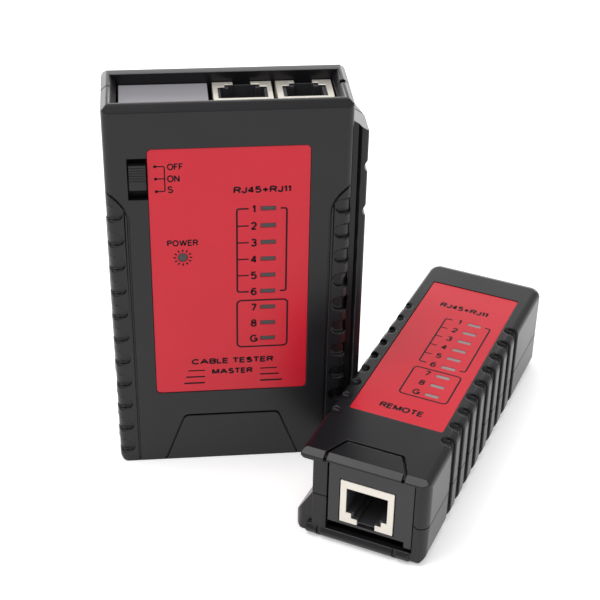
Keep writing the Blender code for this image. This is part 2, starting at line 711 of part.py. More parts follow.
def make_battery(materials, parent):
    low, high = (BATTERY_Y[0], BATTERY_Z[0]), (BATTERY_Y[1], BATTERY_Z[1])
    body = prism(rounded_rectangle(low, high, 2.0, 2), "x", *BATTERY_X)
    battery = make_object("battery_9v", body, materials["battery_wrap"], parent)
    middle_y, middle_z = sum(BATTERY_Y) / 2, sum(BATTERY_Z) / 2
    end = BATTERY_X[1]
    for step, radius in ((-TERMINAL_STEP, 2.8), (TERMINAL_STEP, 3.9)):
        join(battery, rod((middle_y, middle_z + step), radius, "x", end - 0.5, end + TERMINAL_OUT, 12))
    start = end + TERMINAL_OUT + 0.4
    cap = block((start, 8.4, middle_z - 12.6), (start + 3.7, 20.7, middle_z + 12.6))
    make_object("battery_snap", cap, materials["lead_black"], parent)


def tube(name, material, parent, points, radius):
    """Lead along a smooth curve through a few hand-placed points."""
    curve = bpy.data.curves.new(name, "CURVE")
    curve.dimensions = "3D"
    curve.bevel_depth = radius * MM
    curve.bevel_resolution = 2
    curve.use_fill_caps = True
    spline = curve.splines.new("POLY")
    route = smooth_route([Vector(p) * MM for p in points], 5)
    spline.points.add(len(route) - 1)
    for slot, point in zip(spline.points, route):
        slot.co = (*point, 1.0)
    curve.materials.append(material)
    thing = bpy.data.objects.new(name, curve)
    bpy.context.scene.collection.objects.link(thing)
    thing.parent = parent
    return thing


def smooth_route(points, steps):
    """Catmull-Rom curve through the points."""
    route = []
    padded = [points[0] * 2 - points[1]] + points + [points[-1] * 2 - points[-2]]
    for a, b, c, d in zip(padded, padded[1:], padded[2:], padded[3:]):
        for i in range(steps):
            t = i / steps
            route.append(0.5 * ((2 * b) + (c - a) * t + (2 * a - 5 * b + 4 * c - d) * t * t
                                + (3 * b - a - 3 * c + d) * t ** 3))
    route.append(points[-1])
    return route


def make_leads(materials, parent):
    for colour, x in (("red", 22.8), ("black", 25.4)):
        route = [(x, 8.0, 24.0), (x, 6.0, 26.5), (x - 0.6, 4.6, 31.0),
                 (x - 2.6, 5.2, 35.0), (x - 3.6, 6.4, 38.0)]
        tube(f"battery_lead_{colour}", materials[f"lead_{colour}"], parent, route, LEAD_R)


def make_door(material, parent):
    """Battery door, built round its hinge axis: X along the axis, Y outwards, Z up."""
    hinge = empty("door_hinge", (0, MASTER_D - DOOR_T / 2, DOOR_Z[0]), parent)
    half_t, height = DOOR_T / 2, DOOR_Z[1] - DOOR_Z[0]
    outline = arc((0, 0), half_t, 180, 360, 6) + [(half_t, height), (-half_t, height)]
    door = make_object("battery_door", prism(outline, "x", -DOOR_X, DOOR_X), material, hinge)
    reach = DOOR_X + DOOR_PIN_L
    join(door, rod((0, 0), DOOR_PIN_R, "x", -reach, reach, 8))
    finger = arc((0, height - 5.5), 7.0, 200, 340, 6)
    combine(door, prism(finger, "y", half_t - 0.6, half_t + THROUGH))
    return door


# ---------------------------------------------------------------- remote

def remote_blank(low, high):
    """Half of the remote's main body with its outer edges worked."""
    bm = block((0, 0, low), (REMOTE_W, REMOTE_L, high))
    right, far, up = (1, 0, 0), (0, 1, 0), (0, 0, 1)
    round_edge(bm, (REMOTE_W, 0, 0), right, (0, 0, -1), REMOTE_FOOT_R, 3)
    round_edge(bm, (REMOTE_W, 0, REMOTE_H), right, up, REMOTE_TOP_R, 3)
    round_edge(bm, (REMOTE_W, 0, 0), right, (0, -1, 0), REMOTE_END_R, 3)
    work_ends(bm)
    round_edge(bm, (REMOTE_W, REMOTE_L, 0), right, far, REMOTE_FAR_R, 3)
    return bm


def work_ends(bm):
    """Sloped band over the jack end and rounded far end, shared by every part of the outer form."""
    along, down = REMOTE_FRONT_BEVEL
    far, up = (0, 1, 0), (0, 0, 1)
    slice_off(bm, (0, 0, REMOTE_H - down), (0, -down, along))
    round_edge(bm, (0, REMOTE_L, REMOTE_H), far, up, REMOTE_FAR_TOP_R, 3)
    round_edge(bm, (0, REMOTE_L, 0), far, (0, 0, -1), 2.2, 2)


def taper(bm, share):
    """Draw in what stands out to the left, by a share of its reach at the far end."""
    for vert in bm.verts:
        if vert.co.x < 0 and vert.co.y > REMOTE_L * MM / 2:
            vert.co.x *= 1.0 - share


def dock_lip():
    """Round-nosed lip that hooks in front of the master's rail."""
    nose = LIP_T / 2
    outline = [(1.0, REMOTE_H)] + arc((-LIP_OUT + nose, REMOTE_H - nose), nose, 90, 270, 6) \
        + [(1.0, REMOTE_H - LIP_T)]
    bm = prism(outline, "y", 0, REMOTE_L)
    taper(bm, LIP_TAPER)
    work_ends(bm)
    corner = (-LIP_OUT * (1.0 - LIP_TAPER), REMOTE_L, 0)
    round_edge(bm, corner, (-1, 0, 0), (0, 1, 0), REMOTE_FAR_R, 3)
    return bm


def dock_flange():
    """Lower flange behind the rail, with a sloping upper face."""
    top = REMOTE_SPLIT - GAP / 2
    outline = [(1.0, top), (0.0, top), (-FLANGE_OUT, 5.6), (-FLANGE_OUT, 2.5), (-FLANGE_OUT + 0.7, 0.7),
               (-FLANGE_OUT + 2.5, 0.0), (1.0, 0.0)]
    bm = prism(outline, "y", FLANGE_START, REMOTE_L)
    taper(bm, FLANGE_TAPER)
    slice_off(bm, (0, FLANGE_START, 0), (-0.5, -1, 0))
    work_ends(bm)
    corner = (-FLANGE_OUT * (1.0 - FLANGE_TAPER), REMOTE_L, 0)
    round_edge(bm, corner, (-1, 0, 0), (0, 1, 0), REMOTE_FAR_R, 3)
    return bm


def remote_channel_places():
    return [REMOTE_CHANNEL_NEAR + i * REMOTE_CHANNEL_PITCH for i in range(REMOTE_CHANNELS)]


def remote_top_channels(side):
    """Round-ended cuts in the top face, open towards the right edge or the lip's nose."""
    cuts = []
    radius = REMOTE_CHANNEL_H / 2
    for y in remote_channel_places():
        if side > 0:
            centre, edge, angles = (REMOTE_CHANNEL_TIP + radius, y), REMOTE_W + THROUGH, (90, 270)
        else:
            centre, edge, angles = (-0.2 - radius, y), -LIP_OUT - THROUGH, (270, 450)
        outline = arc(centre, radius, *angles, 4)
        outline += [(edge, outline[-1][1]), (edge, outline[0][1])]
        cuts.append(prism(outline, "z", REMOTE_H - CHANNEL_DEPTH, REMOTE_H + THROUGH))
    return merge(cuts)


def remote_side_channels(low, high):
    half = REMOTE_CHANNEL_H / 2
    inner, outer = REMOTE_W - CHANNEL_DEPTH, REMOTE_W + THROUGH
    return merge([block((inner, y - half, low), (outer, y + half, high)) for y in remote_channel_places()])


def remote_pad_line():
    along = REMOTE_FRONT_BEVEL[0]
    return [(3.7, -THROUGH), (3.6, along), (6.0, 7.9), (7.0, 8.8), (22.2, 8.8), (23.2, 7.9),
            (25.9, along), (25.9, -THROUGH)]


def make_remote_top(material, parent):
    low = REMOTE_SPLIT + GAP / 2
    shell = make_object("remote_top_shell", remote_blank(low, REMOTE_H), material, parent)
    join(shell, dock_lip())
    inner_low, inner_high = (WALL, WALL), (REMOTE_W - WALL, REMOTE_L - WALL)
    combine(shell, block((*inner_low, low - THROUGH), (*inner_high, REMOTE_H - WALL)))
    opening_x = (END_PANEL_X[0] - GAP, END_PANEL_X[1] + GAP)
    combine(shell, block((opening_x[0], -THROUGH, low - THROUGH),
                         (opening_x[1], WALL + THROUGH, END_PANEL_Z[1] + GAP)))
    for spot in REMOTE_POST:
        join(shell, rod(spot, REMOTE_POST_R, "z", low, REMOTE_H - WALL / 2, 12))
    combine(shell, merge([rod(spot, 1.2, "z", low - THROUGH, REMOTE_H - 4.0, 8) for spot in REMOTE_POST]))
    pocket_low = (REMOTE_LABEL_X[0] - GAP, REMOTE_LABEL_Y[0] - GAP)
    pocket_high = (REMOTE_LABEL_X[1] + GAP, REMOTE_LABEL_Y[1] + GAP)
    combine(shell, prism(rounded_rectangle(pocket_low, pocket_high, LABEL_R), "z",
                         REMOTE_H - LABEL_POCKET, REMOTE_H + THROUGH))
    combine(shell, merge([block((REMOTE_LED_X - 2.6, y - 1.1, REMOTE_H - WALL - THROUGH),
                                (REMOTE_LED_X + 2.6, y + 1.1, REMOTE_H)) for y in remote_led_places()]))
    for side in (-1, 1):
        combine(shell, remote_top_channels(side))
    combine(shell, remote_side_channels(low - THROUGH, REMOTE_H + THROUGH))
    combine(shell, prism(ribbon(remote_pad_line(), LINE_W), "z", REMOTE_H - REMOTE_LINE_DEPTH,
                         REMOTE_H + THROUGH))
    return shell


def make_remote_bottom(material, parent):
    high = REMOTE_SPLIT - GAP / 2
    shell = make_object("remote_bottom_shell", remote_blank(0, high), material, parent)
    join(shell, dock_flange())
    combine(shell, block((WALL, WALL, WALL), (REMOTE_W - WALL, REMOTE_L - WALL, high + THROUGH)))
    opening_x = (END_PANEL_X[0] - GAP, END_PANEL_X[1] + GAP)
    combine(shell, block((opening_x[0], -THROUGH, END_GAP_Z),
                         (opening_x[1], WALL + THROUGH, high + THROUGH)))
    for spot in REMOTE_POST:
        join(shell, rod(spot, REMOTE_POST_R + 0.4, "z", WALL / 2, high, 12))
    combine(shell, merge([rod(spot, 1.4, "z", -THROUGH, high + THROUGH, 8) for spot in REMOTE_POST]))
    combine(shell, merge([rod(spot, 2.6, "z", -THROUGH, 2.6, 12) for spot in REMOTE_POST]))
    combine(shell, remote_side_channels(REMOTE_FOOT_R, high + THROUGH))
    return shell


def remote_led_places():
    return [REMOTE_LED_FAR - i * REMOTE_LED_PITCH for i in range(len(LED_NAMES))]


def make_remote_end_panel(material, parent):
    low = (END_PANEL_X[0], END_PANEL_Y[0], END_PANEL_Z[0])
    high = (END_PANEL_X[1], END_PANEL_Y[1], END_PANEL_Z[1])
    panel = make_object("remote_end_panel", block(low, high), material, parent)
    combine(panel, block((REMOTE_JACK_X[0] - GAP, -THROUGH, REMOTE_JACK_Z[0] - GAP),
                         (REMOTE_JACK_X[1] + GAP, WALL + THROUGH, REMOTE_JACK_Z[1] + GAP)))


def make_remote_jack(materials, parent):
    low, high = REMOTE_JACK_Z
    middle = sum(REMOTE_JACK_X) / 2
    window = plug_opening(middle, 12.0, 20.1, (11.6, 9.9), (1.6, 3.4), low - THROUGH)
    plug = plug_opening(middle, RJ45_PLUG, 19.6, (11.8, 10.1), (2.0, 3.4), low + 0.9)
    jack_parts("remote_rj45", materials, parent, REMOTE_JACK_X, (high, low), 0.15, 15.5, "y",
               window, plug, (middle, 8, 19.2))


def make_remote_board(material, parent):
    outline = [(3.2, 2.6), (30.4, 2.6), (30.4, 104.8), (3.2, 104.8)]
    board = make_object("remote_pcb", prism(outline, "z", *REMOTE_PCB_Z), material, parent)
    before, past = REMOTE_PCB_Z[0] - THROUGH, REMOTE_PCB_Z[1] + THROUGH
    combine(board, merge([rod(spot, REMOTE_POST_R + 0.4, "z", before, past, 12) for spot in REMOTE_POST]))


def make_remote_lights(material, parent):
    levels = (REMOTE_H - LABEL_T - GAP - LENS_SUNK, REMOTE_H - SHOULDER, REMOTE_PCB_Z[1] + GAP)
    for label, y in zip(LED_NAMES, remote_led_places()):
        make_bar_led(f"remote_led_{label}", material, parent, (REMOTE_LED_X, y), levels, "z")


def make_remote_screws(material, parent):
    for number, spot in enumerate(REMOTE_POST, 1):
        screw(f"remote_screw_{number}", material, parent, spot, "z", (2.2, 2.3, 0.5), (0.9, 21.0, 1.8))


# ---------------------------------------------------------------- assembly

def make_master(materials, parent):
    black = materials["case_black"]
    make_front_shell(black, parent)
    make_rear_shell(black, parent)
    windows = [(LED_X, z) for z in led_heights()]
    make_label("master_label", materials["label_red"], parent, (LABEL_X[0], LABEL_Z[0]),
               (LABEL_X[1], LABEL_Z[1]), "y", (0.0, LABEL_T), windows, POWER_LED)
    make_end_plate(materials["plate_grey"], parent)
    make_master_lights(materials["lens_grey"], parent)
    make_switch(black, materials["insert_black"], parent)
    make_master_jacks(materials, parent)
    make_board(materials["board_green"], parent)
    make_fasteners(materials["steel"], parent)
    make_battery(materials, parent)
    make_leads(materials, parent)
    make_door(black, parent)


def make_remote(materials, parent):
    black = materials["case_black"]
    make_remote_top(black, parent)
    make_remote_bottom(black, parent)
    windows = [(REMOTE_LED_X, y) for y in remote_led_places()]
    make_label("remote_label", materials["label_red"], parent, (REMOTE_LABEL_X[0], REMOTE_LABEL_Y[0]),
               (REMOTE_LABEL_X[1], REMOTE_LABEL_Y[1]), "z", (REMOTE_H - LABEL_T, REMOTE_H), windows)
    make_remote_end_panel(materials["panel_black"], parent)
    make_remote_jack(materials, parent)
    make_remote_board(materials["board_green"], parent)
    make_remote_lights(materials["lens_grey"], parent)
    make_remote_screws(materials["steel"], parent)


def centre_over_origin(top):
    """Move the arrangement so that its footprint's middle is over the world origin."""
    bpy.context.view_layer.update()
    graph = bpy.context.evaluated_depsgraph_get()
    corners = []
    for thing in bpy.data.objects:
        if thing.type == "EMPTY" or thing.hide_render:
            continue
        solid = thing.evaluated_get(graph)
        corners += [solid.matrix_world @ vert.co for vert in solid.to_mesh().vertices]
    middle = [(min(c[i] for c in corners) + max(c[i] for c in corners)) / 2 for i in (0, 1)]
    top.matrix_world = Matrix.Translation((-middle[0], -middle[1], 0.0)) @ top.matrix_world
    bpy.context.view_layer.update()


def main():
    for thing in list(bpy.data.objects):
        bpy.data.objects.remove(thing, do_unlink=True)
    materials = make_materials()
    tester = empty("cable_tester", (0, 0, 0))
    make_master(materials, empty("master_unit", (0, 0, 0), tester))
    make_remote(materials, empty("remote_unit", (*REMOTE_PLACE, 0), tester, REMOTE_TURN))
    centre_over_origin(tester)


main()
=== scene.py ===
"""Looks of the network cable tester: fine shells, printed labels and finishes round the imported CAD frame.

Shapes are in millimetres in two local frames. Master: X to the right, Y from the printed face to the back,
Z up, origin at the middle of the lower front edge. Remote: X across the jack end, Y along the case, Z up,
origin at the lower left of the jack end.
"""
from math import cos, pi, radians, sin

import bmesh
import bpy
from mathutils import Matrix, Vector


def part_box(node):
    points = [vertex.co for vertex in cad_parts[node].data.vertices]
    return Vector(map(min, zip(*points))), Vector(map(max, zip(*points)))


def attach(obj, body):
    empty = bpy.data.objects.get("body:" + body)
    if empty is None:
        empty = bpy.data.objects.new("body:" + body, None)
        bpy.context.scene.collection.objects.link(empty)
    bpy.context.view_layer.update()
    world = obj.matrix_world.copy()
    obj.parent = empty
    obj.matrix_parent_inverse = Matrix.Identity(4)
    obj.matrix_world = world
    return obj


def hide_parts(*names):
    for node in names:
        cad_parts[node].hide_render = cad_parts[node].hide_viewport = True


MM = 0.001
GAP = 0.3  # clearance between parts
WALL = 2.0
THROUGH = 1.0  # how far a cutter runs past the surface it cuts
SOFT = 0.22  # width of the rounding on moulded edges
LEFT, RIGHT, NEAR, FAR, DOWN, UP = (-1, 0, 0), (1, 0, 0), (0, -1, 0), (0, 1, 0), (0, 0, -1), (0, 0, 1)
SHARP_ANGLE = 40  # edges that turn by more degrees are shaded sharp

# ---- master case ----
HALF_W, MASTER_D, MASTER_H = 33.15, 25.6, 116.5  # half of the width, depth and height
MASTER_SPLIT = 13.2
SEAM = 0.18  # visible gap between the shells
FRONT_EDGE_R, REAR_EDGE_R, FOOT_R = 2.0, 3.0, 2.4
TOP_FRONT_CHAMFER, TOP_SIDE_CHAMFER, TOP_REAR_CHAMFER = 1.8, 1.45, 2.6
RECESS_Z, RECESS_HALF_W = 111.7, 29.2
RECESS_SLOPE = ((29.2, 114.4), (30.75, 116.5))  # inner slope of the side rims: its foot and its top
RECESS_Y = (2.9, 20.0)
LEDGE_Z, LEDGE_Y = 110.2, 6.3
RIM_NOTCH_X, RIM_NOTCH_Y, RIM_NOTCH_DEPTH = (30.4, 31.9), 11.6, 2.6

# ---- dock rail ----
RAIL_OUT = 4.5
RAIL_FRONT_Y, RAIL_GROOVE_Y, RAIL_TIP_REAR_Y, RAIL_ROOT_REAR_Y = 3.0, 4.1, 12.8, 22.8
RAIL_BOTTOM, RAIL_TOP, RAIL_RAMP = 9.0, 108.9, 0.65
RAIL_NOSE_R, RAIL_HEEL_R, RAIL_HEEL_RISE = 0.9, 0.6, 0.35
RAIL_STEP = ((2.8, 1.1), (2.2, 0.3), (1.8, 0.0))  # front of the rail: in from the tip, back from the front
RAIL_FOOT_CUT, RAIL_FOOT_SLOPE = 1.5, 0.7
RAIL_NOTCH_Z, RAIL_NOTCH_R, RAIL_NOTCH_DEPTH = (95.3, 81.6), 2.0, 0.9

# ---- grip channels of the master ----
CHANNEL_HALF, CHANNEL_DEPTH = 2.0, 1.2
CHANNELS = [84.9 - i * 7.92 for i in range(11)]
CHANNEL_TIP_X = 28.6
CHANNEL_TURN_R, CHANNEL_TURN_SHIFT = 2.56, 0.06  # how the floor turns outwards into the case's side
RIM_R, FLOOR_R = 0.45, 0.5  # rounding of a channel's rim and of its floor

# ---- engraved lines ----
LINE_W, LINE_DEPTH, LINE_RIM, LINE_FLOOR = 0.6, 0.8, 0.14, 0.12
GRIP_BORDER, GRIP_BORDER_TOP, GRIP_BORDER_R = ((29.4, 88.3), (27.4, 84.4)), 92.9, 1.6
FOOT_PAD, FOOT_PAD_R = ((-20.2, -THROUGH), (-13.9, 16.2), (13.9, 16.2), (20.2, -THROUGH)), 1.5

# ---- labels and lights ----
LABEL_X, LABEL_Z = (-21.65, 21.7), (24.75, 103.95)
LABEL_T, LABEL_SUNK, LABEL_R, REMOTE_LABEL_R = 0.3, 0.2, 1.3, 0.7
POCKET_DEPTH, POCKET_GAP, POCKET_RIM, REMOTE_POCKET_RIM, POCKET_FLOOR = 0.6, 0.12, 0.15, 0.12, 0.05
WINDOW_W, WINDOW_H, WINDOW_R = 4.2, 1.4, 0.15
LIGHT_SLOT = (2.6, 1.1)  # half of the case's opening under a window
LIGHT_BASE, LIGHT_BASE_RISE, LIGHT_GAP = (5.2, 2.1), 0.3, 0.12
LED_NAMES = "12345678g"
LEDS = [(10.45, 85.15 - i * 5.32) for i in range(len(LED_NAMES))]
POWER_LED, POWER_LED_R, POWER_HOLE_R = (-13.0, 70.5), 1.42, 1.9
POWER_CROWN, POWER_GAP = 0.16, 0.06
POWER_BASE = ((1.8, -3.2), (1.8, -5.0), (0.0, -5.0))  # radius and height
SHOULDER, LENS_SUNK, MASTER_LED_SEAT, REMOTE_LED_SEAT = 2.4, 0.08, -5.0, -3.7

# ---- print: words as (text, low corner, high corner, weight), lines as (points, width, corner radius) ----
INK_T, INK_SPREAD = 0.015, (0.1, 0.12)
DIGIT_H, DIGIT_SHARE, DIGIT_WEIGHT = 2.35, 0.88, 0.21
FRAME_W, FRAME_R, BRACKET_R, TICK_W = 0.5, 1.2, 0.7, 0.42
SUN_IN, SUN_OUT, SUN_W, SUN_RAYS = 1.85, 2.6, 0.42, 12
MASTER_WORDS = (
    ("OFF", (-16.4, 97.8), (-12.3, 99.6), 0.19), ("ON", (-16.5, 94.2), (-13.3, 96.1), 0.19),
    ("S", (-16.5, 90.9), (-15.1, 92.8), 0.19), ("POWER", (-17.1, 74.25), (-8.8, 76.05), 0.2),
    ("RJ45+RJ11", (1.1, 90.1), (16.5, 92.0), 0.24), ("CABLE TESTER", (-11.3, 34.3), (12.1, 36.1), 0.26),
    ("MASTER", (-5.5, 30.6), (6.1, 32.4), 0.26))
REMOTE_WORDS = (("RJ45+RJ11", (7.3, 83.4), (22.6, 85.7), 0.24), ("REMOTE", (8.5, 27.4), (21.4, 29.7), 0.24))
SWITCH_DOTS, SWITCH_DOT_R = ((-19.7, 98.9), (-19.6, 95.2), (-19.5, 91.4)), 0.45
SWITCH_LINES = ((((-19.7, 98.9), (-17.2, 98.9), (-17.2, 91.4), (-19.5, 91.4)), 0.34, 0.5),
                (((-19.6, 95.2), (-17.2, 95.2)), 0.34, 0.0))
SIDE_LINES = (
    (-12.4, -7.6, 32.05, 0.4), (-13.1, -7.6, 29.85, 0.48), (-13.7, -7.7, 27.65, 0.56),
    (8.4, 13.2, 31.95, 0.4), (8.3, 13.8, 29.85, 0.48), (8.3, 14.7, 27.65, 0.56))

# ---- switch ----
SWITCH_X, SWITCH_Z = (-27.0, -21.6), (89.1, 101.4)
KNOB_X, KNOB_Z, KNOB_PROUD = (-26.65, -22.1), (92.2, 99.8), 0.7
KNOB_STEP, KNOB_STEP_Z = 0.3, 94.5
KNOB_RIDGES, KNOB_RIDGE_PITCH, KNOB_RIDGE_TOP, KNOB_RIDGE_HALF, KNOB_RIDGE_DEPTH = 6, 0.78, 0.75, 0.26, 0.12
KNOB_STEM, KNOB_STEM_Y = (1.1, 1.4), (1.0, 3.9)  # half of its section, and its run

# ---- inside the master ----
POST_SPOTS, POST_R = [(x, z) for z in (82.0, 37.8) for x in (-27.6, 27.6)], 3.8
POST_HOLE_R, POST_HOLE_Y, REAR_HOLE_R, SCREW_HEAD_HOLE_R, SCREW_SEAT = 1.4, 5.0, 1.5, 2.8, 22.6
BAY_TOP, SHELF_FRONT_Y, SHELF_T = 32.2, 8.2, 2.2
DOOR_X, DOOR_Z, DOOR_T, DOOR_PIN_R = 28.0, (4.6, 32.4), 2.0, 0.6
DOOR_PIN_GAP, DOOR_PIN_REACH = 0.35, 1.1

# ---- remote ----
REMOTE_TURN = radians(-29.31)
REMOTE_W, REMOTE_L, REMOTE_H = 33.7, 108.5, 29.4
REMOTE_TOP_R, REMOTE_FOOT_R, REMOTE_END_R = 2.5, 4.5, 3.0
REMOTE_FAR_TOP_R, REMOTE_FAR_R, REMOTE_SOLE_R, REMOTE_FAR_SOLE_R = 4.0, 4.5, 2.0, 2.2
REMOTE_FRONT_BEVEL = (2.1, 1.4)
FRONT_LIP = ((1.6, 0.3), (0.4, 0.35), (0.0, 0.7), (-0.6, 1.4), (-0.8, 2.0), (-0.8, 2.73), (0.0, 3.95),
             (1.6, 4.2))
FRONT_LIP_X, FRONT_LIP_NOTCHES, FRONT_LIP_NOTCH_HALF = (-1.5, 29.2), (2.3, 24.9), 0.55
SEAM_LINE = ((-6.0, 15.3), (28.2, 15.3), (30.8, 13.3), (36.0, 13.3))  # X and Z of the shells' joint
LIP_OUT, LIP_T, LIP_TAPER = 3.8, 2.8, 0.3
FLANGE_OUT, FLANGE_TAPER, FLANGE_START, FLANGE_NEAR_R, FLANGE_FOOT_R = 5.5, 0.22, 1.1, 2.6, 2.2
FLANGE_EDGE = ((0.25, 5.9), (0.0, 5.3))  # in from its tip, and height
REMOTE_LABEL_X, REMOTE_LABEL_Y = (1.2, 29.0), (23.2, 95.9)
REMOTE_LEDS = [(20.6, 77.4 - i * 4.91) for i in range(len(LED_NAMES))]
REMOTE_CHANNELS = [20.2 + i * 7.34 for i in range(9)]
REMOTE_CHANNEL_HALF, REMOTE_CHANNEL_TIP = 1.7, 29.7
END_PANEL_X, END_PANEL_TOP, END_PANEL_LOW, END_PANEL_FOOT, END_GAP_Z = (4.6, 29.4), 27.35, 6.8, 4.9, 3.9
END_PANEL_Y, END_PANEL_FOOT_W = (0.4, 1.9), 2.2
END_OPENING = (END_PANEL_X[0] - GAP, END_PANEL_X[1] + GAP)
PAD_LINE_W, PAD_LINE_DEPTH, PAD_LINE_R, PAD_LINE_RIM, PAD_LINE_FLOOR = 0.75, 1.15, 0.6, 0.22, 0.1
PAD_LINE_NOTCH = 1.2  # how far back its ends cut the front edge
PAD_LINE_X, PAD_LINE_FAR, PAD_LINE_LOW = (3.3, 25.9), ((6.4, 8.8), (22.7, 8.8)), (27.2, 26.5)
REMOTE_POSTS = ((16.85, 24.8), (16.85, 100.5))
TOP_POST_R, TOP_POST_END, TOP_HOLE_R, TOP_HOLE_ROOF = 3.0, 15.5, 1.2, 4.0
BASE_POST_R, BASE_POST_END, BASE_HOLE_R, BASE_HEAD_R, BASE_HEAD_DEPTH = 3.4, 15.1, 1.4, 2.6, 2.6

# ---- CAD nodes that stay: part of the name, finish and edge rounding ----
NODE_FINISHES = (
    ("_shield", "nickel", 0.15), ("_insert", "insert_black", 0.06), ("_contacts", "gold", 0.0),
    # the switch frame's finish is darker than the case: painted shade for the switch recess
    ("master_end_panel", "plate_grey", 0.2), ("switch_frame", "switch_black_painted_shade", 0.1),
    ("battery_door", "case_black", 0.2), ("battery_9v", "battery_wrap", 0.25),
    ("battery_snap", "lead_black", 0.3), ("battery_lead_red", "lead_red", 0.0),
    ("battery_lead_black", "lead_black", 0.0), ("_pcb", "board_green", 0.1), ("screw", "steel", 0.08))

# ---- camera, from the master's origin, and studio lights ----
CAMERA_PLACE = (-19.43, -349.55, 285.87)
CAMERA_TURN = (6.363, 33.263, 1.202)  # yaw, downward pitch and roll in degrees
CAMERA_LENS = 89.526
WORLD_RADIANCE = 0.65
FLOOR_HALF, FLOOR_GREY, FLOOR_GLOW = 40.0, 0.92, 0.35  # floor size in metres
NOISE_LOW, NOISE_HIGH = 0.15, 0.85  # where a noise value counts as its lowest or highest
BUMP_DEPTH = 0.00001
LIGHTS = (
    ("top", (0.12, 0.04, 1.0), (0, 0, 0.06), (0.2, 0.5), 5.0),
    ("overhead", (-0.45, -0.1, 1.05), (0, 0, 0.05), (0.6, 0.6), 4.0),
    ("back", (0.1, 1.6, 0.4), (0.1, 0, 0.4), (2.6, 0.8), 2.6))


# ---- outlines ----

def arc(centre, radius, start, end, steps):
    """Points on an arc, angles in degrees, both ends included."""
    points = []
    for i in range(steps + 1):
        angle = radians(start + (end - start) * i / steps)
        points.append((centre[0] + radius * cos(angle), centre[1] + radius * sin(angle)))
    return points


def rounded_rectangle(low, high, radius, steps=8):
    (x0, y0), (x1, y1) = low, high
    return (arc((x1 - radius, y0 + radius), radius, -90, 0, steps)
            + arc((x1 - radius, y1 - radius), radius, 0, 90, steps)
            + arc((x0 + radius, y1 - radius), radius, 90, 180, steps)
            + arc((x0 + radius, y0 + radius), radius, 180, 270, steps))


def rectangle(low, high):
    return [low, (high[0], low[1]), high, (low[0], high[1])]


def circle(centre, radius, sides=32):
    return arc(centre, radius, 0, 360 * (sides - 1) / sides, sides - 1)


def ribbon(points, width):
    """Outline of a stripe of even width along an open line of points."""
    left, right = [], []
    for i, point in enumerate(points):
        here = Vector(point)
        before = (here - Vector(points[i - 1])).normalized() if i > 0 else None
        after = (Vector(points[i + 1]) - here).normalized() if i < len(points) - 1 else None
        along = ((before or after) + (after or before)).normalized()
        side = Vector((-along.y, along.x))
        stretch = 1.0 / side.dot(Vector((-(after or before).y, (after or before).x)))
        offset = side * (width / 2 * stretch)
        left.append(tuple(here + offset))
        right.append(tuple(here - offset))
    return left + right[::-1]


def rounded_line(points, radius, steps=4):
    """Open line with its inner corners rounded."""
    line = [points[0]]
    for before, corner, after in zip(points, points[1:], points[2:]):
        here = Vector(corner)
        start = here + (Vector(before) - here).normalized() * radius
        end = here + (Vector(after) - here).normalized() * radius
        for i in range(steps + 1):
            t = i / steps
            line.append(tuple(start * (1 - t) ** 2 + here * (2 * t * (1 - t)) + end * t ** 2))
    return line + [points[-1]]


def quarter(radius, steps=4):
    """(across, down) steps of a rounded corner, from flush with the surface to flush with the wall."""
    angles = [pi / 2 * (1 - i / steps) for i in range(steps + 1)]
    return [(radius * (1 - cos(a)), radius * (1 - sin(a))) for a in angles]


# ---- solids ----

def place(point, height, axis):
    """Put an outline point (first free axis, second free axis) and a height into 3-D."""
    out = list(point)
    out.insert("xyz".index(axis), height)
    return Vector(out)


def face_out(bm):
    bmesh.ops.recalc_face_normals(bm, faces=bm.faces)
    return bm


def loft(sections, axis):
    """Closed solid through outlines of equal length, each at its own height along the axis."""
    bm = bmesh.new()
    rings = [[bm.verts.new(place(p, height, axis)) for p in outline] for outline, height in sections]
    count = len(rings[0])
    for lower, upper in zip(rings, rings[1:]):
        for i in range(count):
            j = (i + 1) % count
            bm.faces.new((lower[i], lower[j], upper[j], upper[i]))
    bm.faces.new(rings[0])
    bm.faces.new(rings[-1])
    return face_out(bm)


def prism(outline, axis, low, high):
    return loft([(outline, low), (outline, high)], axis)


def block(low, high):
    return prism(rectangle(low[:2], high[:2]), "z", low[2], high[2])


def rod(centre, radius, axis, low, high, sides=32):
    return prism(circle(centre, radius, sides), axis, low, high)


def rods(spots, *shape):
    return merge([rod(spot, *shape) for spot in spots])


def sunk(outline, axis, surface, inward, depth, rim, floor):
    """Cutter for a pocket with a rounded rim and floor; outline(growth) gives its plan."""
    sections = [(outline(rim), surface - inward * THROUGH)]
    for across, down in quarter(rim):
        sections.append((outline(across), surface + inward * down))
    for across, down in reversed(quarter(floor)):
        sections.append((outline(-across), surface + inward * (depth - down)))
    return loft(sections, axis)


def slice_off(bm, point, normal):
    """Cut away what lies beyond a plane and close the cut."""
    geometry = bm.verts[:] + bm.edges[:] + bm.faces[:]
    result = bmesh.ops.bisect_plane(bm, geom=geometry, dist=1e-4, plane_co=Vector(point),
                                    plane_no=Vector(normal), clear_outer=True)
    cut = [item for item in result["geom_cut"] if isinstance(item, bmesh.types.BMEdge)]
    if cut:
        bmesh.ops.edgeloop_fill(bm, edges=cut)
        face_out(bm)


def round_edge(bm, corner, first, second, radius, steps=7):
    """Round an edge of a convex solid; first and second are its faces' outward normals."""
    first, second = Vector(first), Vector(second)
    centre = Vector(corner) - radius * (first + second)
    for i in range(steps):
        angle = pi / 2 * (i + 0.5) / steps
        normal = first * cos(angle) + second * sin(angle)
        slice_off(bm, centre + normal * radius, normal)


def merge(meshes):
    """One mesh that holds several separate solids."""
    bm = bmesh.new()
    for other in meshes:
        mesh = bpy.data.meshes.new("solid")
        other.to_mesh(mesh)
        other.free()
        bm.from_mesh(mesh)
        bpy.data.meshes.remove(mesh)
    return bm


# ---- grooves that turn an edge ----

